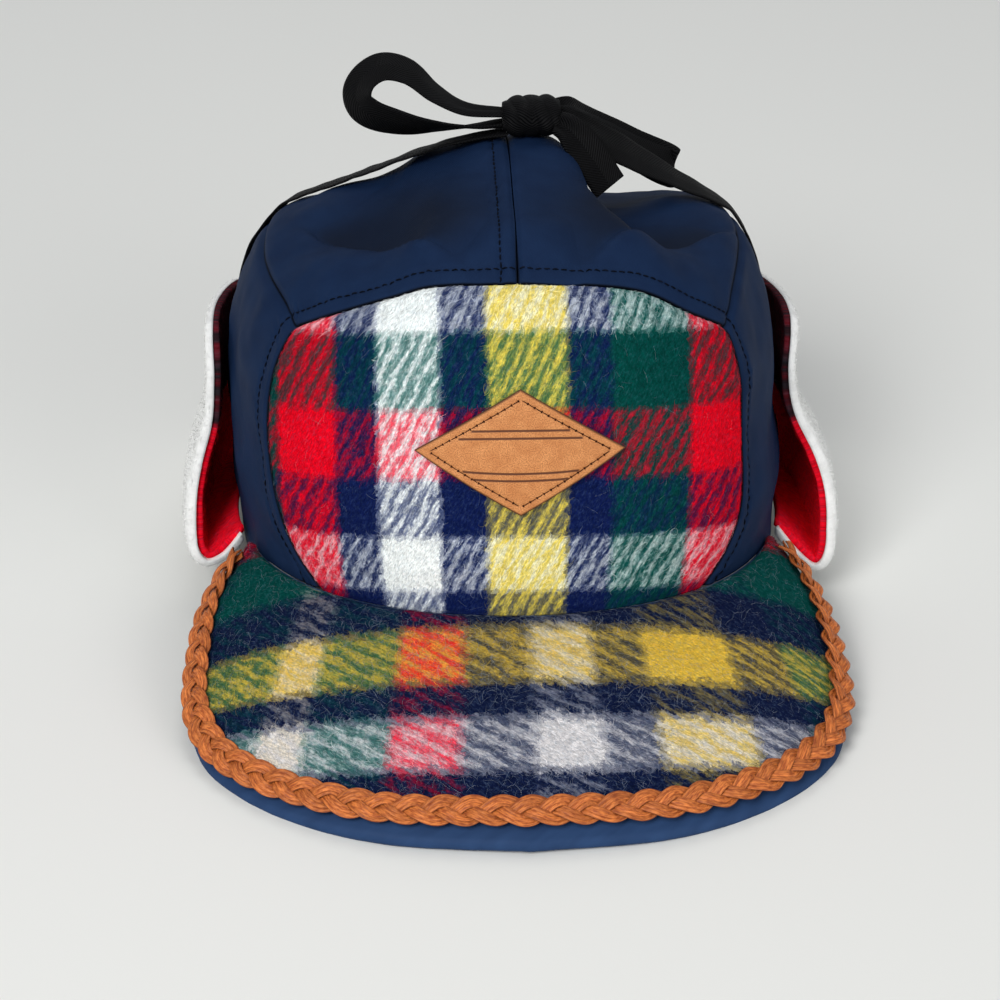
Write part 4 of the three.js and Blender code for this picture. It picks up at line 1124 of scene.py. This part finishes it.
def visor_normal(share, depth, small=0.01):
    s, d = np.clip(share, small - 1, 1 - small), np.clip(depth, small, 1 - small)
    across = visor_point(s + small, d) - visor_point(s - small, d)
    out = visor_point(s, d + small) - visor_point(s, d - small)
    return unit(np.cross(out, across))


def visor_border(share):
    return BORDER_FRONT + (BORDER_SIDE - BORDER_FRONT) * np.minimum(1, np.abs(share) * 1.5)


def visor_length(share):
    return np.linalg.norm(visor_inner(share) - visor_outer(share), axis=-1)


def visor_board():
    # Its section: depth out from the rim, and thickness down from its top
    t = np.linspace(0, 1, 25)
    corner = np.linspace(0, np.pi, 17)[1:-1]
    section_out = np.concatenate([t * BOARD_FLAT, BOARD_FLAT + BOARD_NOSE * np.sin(corner),
                                  BOARD_FLAT * t[::-1], [0]])
    section_down = np.concatenate([0 * t, 0.5 - 0.5 * np.cos(corner), 1 + 0 * t, [0]])
    share, number = np.meshgrid(np.linspace(-1, 1, 201), np.arange(len(section_out)),
                                indexing="ij")
    depth, down = section_out[number], section_down[number]
    normals = visor_normal(share, depth)
    points = visor_point(share, depth) - normals * (down * VISOR_THICKNESS)[..., None]
    uneven = 0.12 * waves(points, 31, 9, 40) * np.clip((depth - 0.6) * 4, 0, 1) * (down < 0.9)
    points = points + normals * uneven[..., None]
    steps = np.linalg.norm(np.diff(points, axis=0, prepend=points[:1]), axis=-1)
    weave = np.stack([np.cumsum(steps, axis=0), depth * BOARD_LENGTH, down], -1)
    finished(tube("visor_board", points, weave), VISOR, "navy_nylon", "visor")


def visor_cover():
    share, t = np.meshgrid(np.linspace(-1, 1, 171), eased(56), indexing="ij")
    start = COVER_INSET / visor_length(share)
    border = (visor_border(share) + COVER_SHORT) / visor_length(share)
    end = 1 - np.minimum(COVER_MOST_SHORT, border)
    depth = start + (end - start) * t
    points, normals = visor_point(share, depth), visor_normal(share, depth)
    far = np.minimum(t, 1 - t) * visor_length(share)
    lift = GAP + COVER + valley(far, 0.8, 0.8) + 0.2 * waves(points, 33, 9, 30)
    outer = points + normals * lift[..., None]
    fan = 1 + FAN * (-points[..., 1] - FAN_START)
    weave = np.stack([points[..., 0] / fan, -points[..., 1] + ROW_BEND * points[..., 0] ** 2,
                      np.full(share.shape, 0.5)], -1)
    wool = shell("visor_wool", outer, points + normals * GAP, weave)
    fibres = nap("visor_nap", outer, normals, weave, count=21000, seed=6, length=(1.2, 3.6),
                 width=(0.055, 0.1), lift=NAP_RISE, lean=28, spread=34)
    finished(join([wool, fibres]), WOOL_VISOR, "plaid_wool", "visor_cover")
    strays = nap("visor_strays", outer, normals, weave, count=4200, seed=12, length=(2, 5.5),
                 width=(0.022, 0.04), lift=STRAY_RISE, lean=28, spread=70)
    finished(strays, STRAY, "plaid_wool")


visor_board()
visor_cover()


# Leather braid

# Three strands cross with this pitch. They swing aside, and rise and sink round a middle height
STRANDS, STRAND_PITCH, STRAND_SWING, STRAND_HEIGHT, STRAND_RISE = 3, 23.0, 2.7, 1.15, 0.85
# Each strand is three flat strips. The outer ones lie a little lower than the middle one
STRIPS, STRIP_SPACING, STRIP_HALF, STRIP_THICK, STRIP_SUNK = 3, 1.15, 0.76, 0.34, 0.12
# How far apart the strips of a strand lie in the leather's grain
GRAIN_APART = 90


def braid_path(steps):
    end = 1.0
    while visor_length(np.array(end)) < BRAID_WIDTH + 2 * BORDER_SIDE:
        end -= 0.005
    share = np.linspace(-end, end, steps)
    depth = 1 - (visor_border(share) + BRAID_WIDTH / 2) / visor_length(share)
    centre, normal = visor_point(share, depth), visor_normal(share, depth)
    run = unit(np.gradient(centre, axis=0))
    return centre + normal * (2.3 * GAP + COVER), normal, unit(np.cross(normal, run))


def plait(steps=500, around=9):
    """The strands' strips, which cross over and under along the visor's edge."""
    centre, normal, across = braid_path(steps)
    far = lengths(centre)
    turns = round(far[-1] / STRAND_PITCH)
    rng = np.random.default_rng(8)
    strips = []
    for strand in range(STRANDS):
        phase = 2 * np.pi * (far / far[-1] * turns + strand / STRANDS)
        aside_by = STRAND_SWING * np.sin(phase)
        height = STRAND_HEIGHT + STRAND_RISE * np.sin(2 * phase)
        middle = centre + across * aside_by[:, None] + normal * height[:, None]
        run = unit(np.gradient(middle, axis=0))
        aside = unit(np.cross(normal, run))
        up = np.cross(run, aside)
        for strip in range(STRIPS):
            number = strand * STRIPS + strip
            size = STRIP_HALF + 0.05 * waves(middle, number, 5, 20)
            offset = (strip - 1) * STRIP_SPACING + 0.08 * waves(middle, 40 + number, 8, 30)
            sunk = STRIP_SUNK * (strip != 1)
            ring = []
            for angle in np.linspace(0, 2 * np.pi, around):
                c, s = math.cos(angle), math.sin(angle)
                out, over = abs(c) ** 0.7 * np.sign(c), abs(s) ** 0.9 * np.sign(s)
                ring.append(middle + aside * (offset + out * size)[:, None]
                            + up * (over * STRIP_THICK - sunk))
            weave = np.stack(np.broadcast_arrays(far[:, None] + GRAIN_APART * strip,
                                                 np.linspace(-1, 1, around), rng.random()), -1)
            strips.append(tube(f"braid_strip_{strand}_{strip}", np.stack(ring, 1), weave))
    return join(strips)


finished(plait(), BRAID, "braid_leather", "visor_braid")


# Ear flaps

# Millimetres that a run of 1 up the flap stands for: in its weave, and near its fold and its tip
FLAP_LENGTH, FOLD_LENGTH, TIP_LENGTH = 110, 130, 90
# The wool's and the fleece's distance from the face between them
LAYER_GAP = 0.04
# The wool's sewn edge is drawn in: over what share of its run, how far and how far up
DRAWN_SHARE, DRAWN_IN, DRAWN_UP, DRAWN_IN_BEHIND = 0.022, 2.6, 0.8, 1.5


def flap_point(side, spread, share):
    row = {name: follow(FLAP, name, share) for name in ("up", "off", "wide")}
    tip_round = 1 - 0.03 * (2 * spread) ** 4 * share
    back_lift = BACK_LIFT * (spread + 0.5) * (1 - row["up"]) * np.minimum(1, share / 0.06)
    angle = side * ((FLAP_FRONT + FLAP_BACK) / 2
                    + spread * row["wide"] * (FLAP_BACK - FLAP_FRONT))
    sag = FLAP_SAG[side] * np.exp(-((share - 0.16) / 0.1) ** 2)
    height = FLAP_HEIGHT * row["up"] * tip_round + back_lift - sag
    seat = 2 * GAP + SHELL
    wall = crown_point(wall_at(angle, np.maximum(height, 0)))
    wall[..., 2] = height
    bow = FLAP_BOW * (1 - 4 * spread**2) * 6.4 * share * (1 - share) ** 2
    off = seat + (STANDOFF[side] - seat) * row["off"] - bow
    return wall + outwards(angle) * off[..., None]


def flap_normal(side, spread, share, small=0.01):
    s = np.clip(share, small, 1 - small)
    forwards = flap_point(side, spread - small, s) - flap_point(side, spread + small, s)
    upwards = flap_point(side, spread, s + small) - flap_point(side, spread, s - small)
    return unit(np.cross(upwards, forwards)) * side


def flap_wool(word, side, a, b, span):
    points, normals = flap_point(side, a - 0.5, b), flap_normal(side, a - 0.5, b)
    edge = np.minimum.reduce([a * span, (1 - a) * span, (1 - b) * TIP_LENGTH])
    thick = GAP + SHELL + 0.15 * waves(points, 51, 8, 25) + valley(edge, 0.3, 0.5)
    outer = points - normals * thick[..., None]
    inner = points - normals * LAYER_GAP
    angle = side * ((FLAP_FRONT + FLAP_BACK) / 2 + (a - 0.5) * (FLAP_BACK - FLAP_FRONT))
    drawn = np.exp(-((b / DRAWN_SHARE) ** 2))[..., None]
    outer = outer - outwards(angle) * DRAWN_IN * drawn + np.array([0, 0, DRAWN_UP]) * drawn
    inner = inner - outwards(angle) * DRAWN_IN_BEHIND * drawn
    weave = np.stack([(a - 0.5) * span, points[..., 2], np.full(a.shape, 0.5)], -1)
    wool = shell(f"flap_{word}_wool", outer, inner, weave)
    fibres = nap(f"flap_{word}_nap", outer, -normals, weave, count=8000, seed=60 + side,
                 length=(2, 5), width=(0.07, 0.13), lift=(0.15, 0.8), lean=60, spread=40, ends=0.6)
    finished(join([wool, fibres]), WOOL_FLAP, "red_wool", f"ear_flap_{word}")


def flap_fleece(word, side, a, b, span):
    spread = (a - 0.5) * (1 + 2 * OVERHANG / span)
    points, normals = flap_point(side, spread, b), flap_normal(side, spread, b)
    edge = np.minimum.reduce([a * span, (1 - a) * span, b * FOLD_LENGTH, (1 - b) * TIP_LENGTH])
    # Full and rounded at its edges, thinner towards the tip
    round_off = np.sqrt(1 - (1 - np.clip(edge / 3.0, 0, 1)) ** 2)
    thin = 1 - 0.35 * np.clip((b - 0.45) / 0.35, 0, 1)
    lumps = 0.16 * waves(points, 55, 5, 14, 20)
    pile = 0.8 + (FLEECE - 0.9) * round_off * thin + round_off * lumps
    outer = points + normals * pile[..., None]
    weave = np.stack([(a - 0.5) * span, b * FLAP_LENGTH, np.full(a.shape, 0.5)], -1)
    white = shell(f"lining_{word}_fleece", outer, points + normals * LAYER_GAP, weave)
    fibres = nap(f"lining_{word}_nap", outer, outward(outer, normals), weave, count=12000,
                 seed=70 + side, length=(0.8, 2.2), width=(0.12, 0.22), lift=(0.2, 0.7),
                 lean=20, spread=90, ends=0.6)
    finished(join([white, fibres]), WHITE_FLEECE, "fleece", f"flap_lining_{word}")


for word, side in SIDES:
    a, b = np.meshgrid(eased(72, 0.6), np.linspace(0, 1, 101), indexing="ij")
    widest = flap_point(1, np.array([-0.5, 0.5]), np.array([0.4, 0.4]))
    span = np.linalg.norm(widest[0] - widest[1])
    flap_wool(word, side, a, b, span)
    flap_fleece(word, side, a, b, span)


# Ribbon ties and bow

# How far a ribbon's root stands out of the knot's end
ROOT_GAP = -1.2
# A ribbon's grid, its half thickness and how much thicker its selvedge is
LANES, STEPS_A_POINT, RIBBON_HALF, SELVEDGE = 12, 14, 0.38, 0.14
RIDGE_TOP = crown_point(disc_point(np.array(0.0), np.array(0.93)))[2]
KNOT_CENTRE = np.array([KNOT_OFFSET, -0.1 * HALF_LENGTH, RIDGE_TOP + KNOT_HEIGHT / 2 + GAP + 0.4])


def smooth_run(points, t):
    """Places on a smooth curve through the points, with t from 0 to 1."""
    points = np.asarray(points, float)
    last = len(points) - 1
    padded = np.concatenate([[2 * points[0] - points[1]], points, [2 * points[-1] - points[-2]]])
    whole = np.clip(np.floor(t * last).astype(int), 0, last - 1)
    w = (t * last - whole)[:, None]
    p0, p1, p2, p3 = (padded[whole + k] for k in range(4))
    gap = [np.maximum(np.linalg.norm(b - a, axis=1, keepdims=True) ** 0.5, 1e-4)
           for a, b in ((p0, p1), (p1, p2), (p2, p3))]
    m1 = ((p1 - p0) / gap[0] - (p2 - p0) / (gap[0] + gap[1]) + (p2 - p1) / gap[1]) * gap[1]
    m2 = ((p2 - p1) / gap[1] - (p3 - p1) / (gap[1] + gap[2]) + (p3 - p2) / gap[2]) * gap[1]
    return (p1 + m1 * w + (3 * (p2 - p1) - 2 * m1 - m2) * w**2
            + (2 * (p1 - p2) + m1 + m2) * w**3)


def turned(vectors, axes, angles):
    """Each vector turned about its own axis."""
    c, s = np.cos(angles)[:, None], np.sin(angles)[:, None]
    kept = axes * (axes * vectors).sum(1, keepdims=True) * (1 - c)
    return vectors * c + np.cross(axes, vectors) * s + kept


def ribbon(name, node, points, turn, wide, widthwards, seed, curl=0.0):
    """A ribbon through the points. widthwards is the way its width lies before it is turned."""
    t = np.linspace(0, 1, STEPS_A_POINT * (len(points) - 1) + 1)
    rows = {"step": np.linspace(0, 1, len(points)), "turn": np.asarray(turn, float),
            "wide": np.asarray(wide, float)}
    centre = smooth_run(points, t)
    run = unit(np.gradient(centre, axis=0))
    way = np.array(widthwards, float)
    across = unit(way - run * (run @ way)[:, None])
    across = turned(across, run, np.radians(follow(rows, "turn", t, "step")))
    normal = np.cross(across, run)
    wide = follow(rows, "wide", t, "step")
    a = np.linspace(-1, 1, LANES + 1)
    # Gathered into ripples where it is pinched
    pinch = 1 - np.clip((wide - 0.6) / 0.4, 0, 1)
    bow = curl * (a[None] ** 2 - 0.4) + 0.9 * pinch[:, None] * np.cos(a[None] * 5)
    bow = bow + 0.12 * waves(centre, seed, 6, 18)[:, None]
    reach = (RIBBON_WIDTH / 2 * wide)[:, None] * a[None]
    middle = centre[:, None] + across[:, None] * reach[..., None] + normal[:, None] * bow[..., None]
    half = RIBBON_HALF - 0.12 * a**8 + SELVEDGE * np.exp(-(((np.abs(a) - 0.9) / 0.08) ** 2))
    offset = normal[:, None] * half[None, :, None]
    weave = np.stack(np.broadcast_arrays(lengths(centre)[:, None], a[None] * 6, 0.5), -1)
    facing = (grid_normals(middle) * normal[:, None]).sum(-1).mean()
    finished(shell(name, middle + offset, middle - offset, weave, facing), RIBBON, "ribbon", node)


def from_knot(side, out, back, rise):
    return np.stack(np.broadcast_arrays(side * (KNOT_LENGTH / 2 + ROOT_GAP + out), back, rise),
                    -1) + KNOT_CENTRE


def ribbon_tie(word, side):
    """A tie from behind its flap's tip over the shoulder and through the air to the knot."""
    angle = side * TIE_ANGLE[side]
    lean = 0 if side > 0 else math.radians(TIE_ANGLE[side] - 90)
    disc = np.concatenate([wall_at(angle, FLAP_HEIGHT * np.array([0.86, 1, 1.14, 1.28])),
                           disc_point(angle, np.array([0.52, 0.56]))])
    off = (2.5 * GAP + 0.5) * np.array([1.15, 1.15, 1, 1, 1, 1])
    wall = crown_point(disc) + crown_normal(disc) * off[:, None]
    if side > 0:
        aside = -KNOT_DEPTH * 0.14
        ends = [from_knot(side, KNOT_LENGTH * 0.25, aside, -KNOT_HEIGHT * 0.16),
                from_knot(side, 0, aside, -KNOT_HEIGHT * 0.06)]
        turn = [0, 0, 0, 0, 0, 0, -16, -34, -46, -50]
    else:
        on_ridge = crown_point(top_point(np.array(-0.95 * RIDGE), KNOT_CENTRE[1])) + (0, 0, 2.5)
        ends = [on_ridge, from_knot(side, KNOT_LENGTH * 0.3, 0, -KNOT_HEIGHT * 0.46),
                from_knot(side, 0, 0, -KNOT_HEIGHT * 0.42)]
        turn = [0] * 11
    in_air = [wall[-1] + (ends[0] - wall[-1]) * share for share in (0.35, 0.7)]
    points = [*wall, *in_air, *ends]
    ribbon(f"tie_{word}_ribbon", f"tie_{word}", points, turn, [1] * (len(points) - 2) + [0.75] * 2,
           (-side * math.sin(lean), math.cos(lean), 0), 80 + side)


def bow_part(name, node, side, rows, scale, widthwards, seed, curl=0.0, ahead=0.0):
    """A loop or tail from its table, whose columns out, back and up are times the scale."""
    out, back, up = (rows.get(way, 0) * size for way, size in zip(("out", "back", "up"), scale))
    ribbon(name, node, from_knot(side, out, back - ahead, up), rows["turn"], rows["wide"],
           widthwards, seed, curl)


def back_tail():
    """The tail that lies along the ridge behind the knot."""
    y = KNOT_CENTRE[1] + KNOT_DEPTH / 2 + HALF_LENGTH * BACK_TAIL["back"]
    points = crown_point(top_point(np.full(y.shape, KNOT_OFFSET), y))
    points[:, 2] += KNOT_HEIGHT * BACK_TAIL["lift"]
    ribbon("tail_back_ribbon", "bow_tail_back", points, 0 * y, BACK_TAIL["wide"], (1, 0, 0), 87)


def squarish(value):
    return np.sign(value) * np.abs(value) ** 0.8


def knot():
    """The ribbon pulled tight round itself, bunched into folds that run aslant."""
    s, t = np.meshgrid(np.linspace(-1, 1, 61), np.linspace(0, 2 * np.pi, 97), indexing="ij")
    fold = np.abs(np.sin(2.2 * np.pi * (s * 0.8 + 0.22 * np.sin(t + 0.6)))) ** 0.7
    round_it = np.stack([s * 8, 6 * np.cos(t), 6 * np.sin(t)], -1)
    size = ((1 - 0.3 * np.abs(s) ** 3.2)
            * (0.9 + 0.1 * fold + 0.07 * waves(round_it, 12, 7, 14)))
    points = np.stack([s * KNOT_LENGTH / 2, squarish(np.cos(t)) * size * KNOT_DEPTH / 2,
                       squarish(np.sin(t)) * size * KNOT_HEIGHT / 2], -1) + KNOT_CENTRE
    weave = np.stack([t * 7, s * 6, np.full(s.shape, 0.5)], -1)
    finished(tube("knot_ribbon", points, weave), RIBBON, "ribbon", "bow_knot")


for word, side in SIDES:
    ribbon_tie(word, side)
bow_part("loop_right_ribbon", "bow_loop_right", -1, STANDING_LOOP, (LOOP_REACH, 0, LOOP_RISE),
         (0, 1, 0), 84, 0.3)
bow_part("loop_left_ribbon", "bow_loop_left", 1, FALLEN_LOOP, [LOOP_REACH] * 3, (0, 0, 1), 85, 0.2)
bow_part("tail_front_ribbon", "bow_tail_front", 1, FRONT_TAIL, [TAIL_REACH] * 3, (0, 0, 1), 86,
         ahead=KNOT_DEPTH * 0.37)
back_tail()
knot()
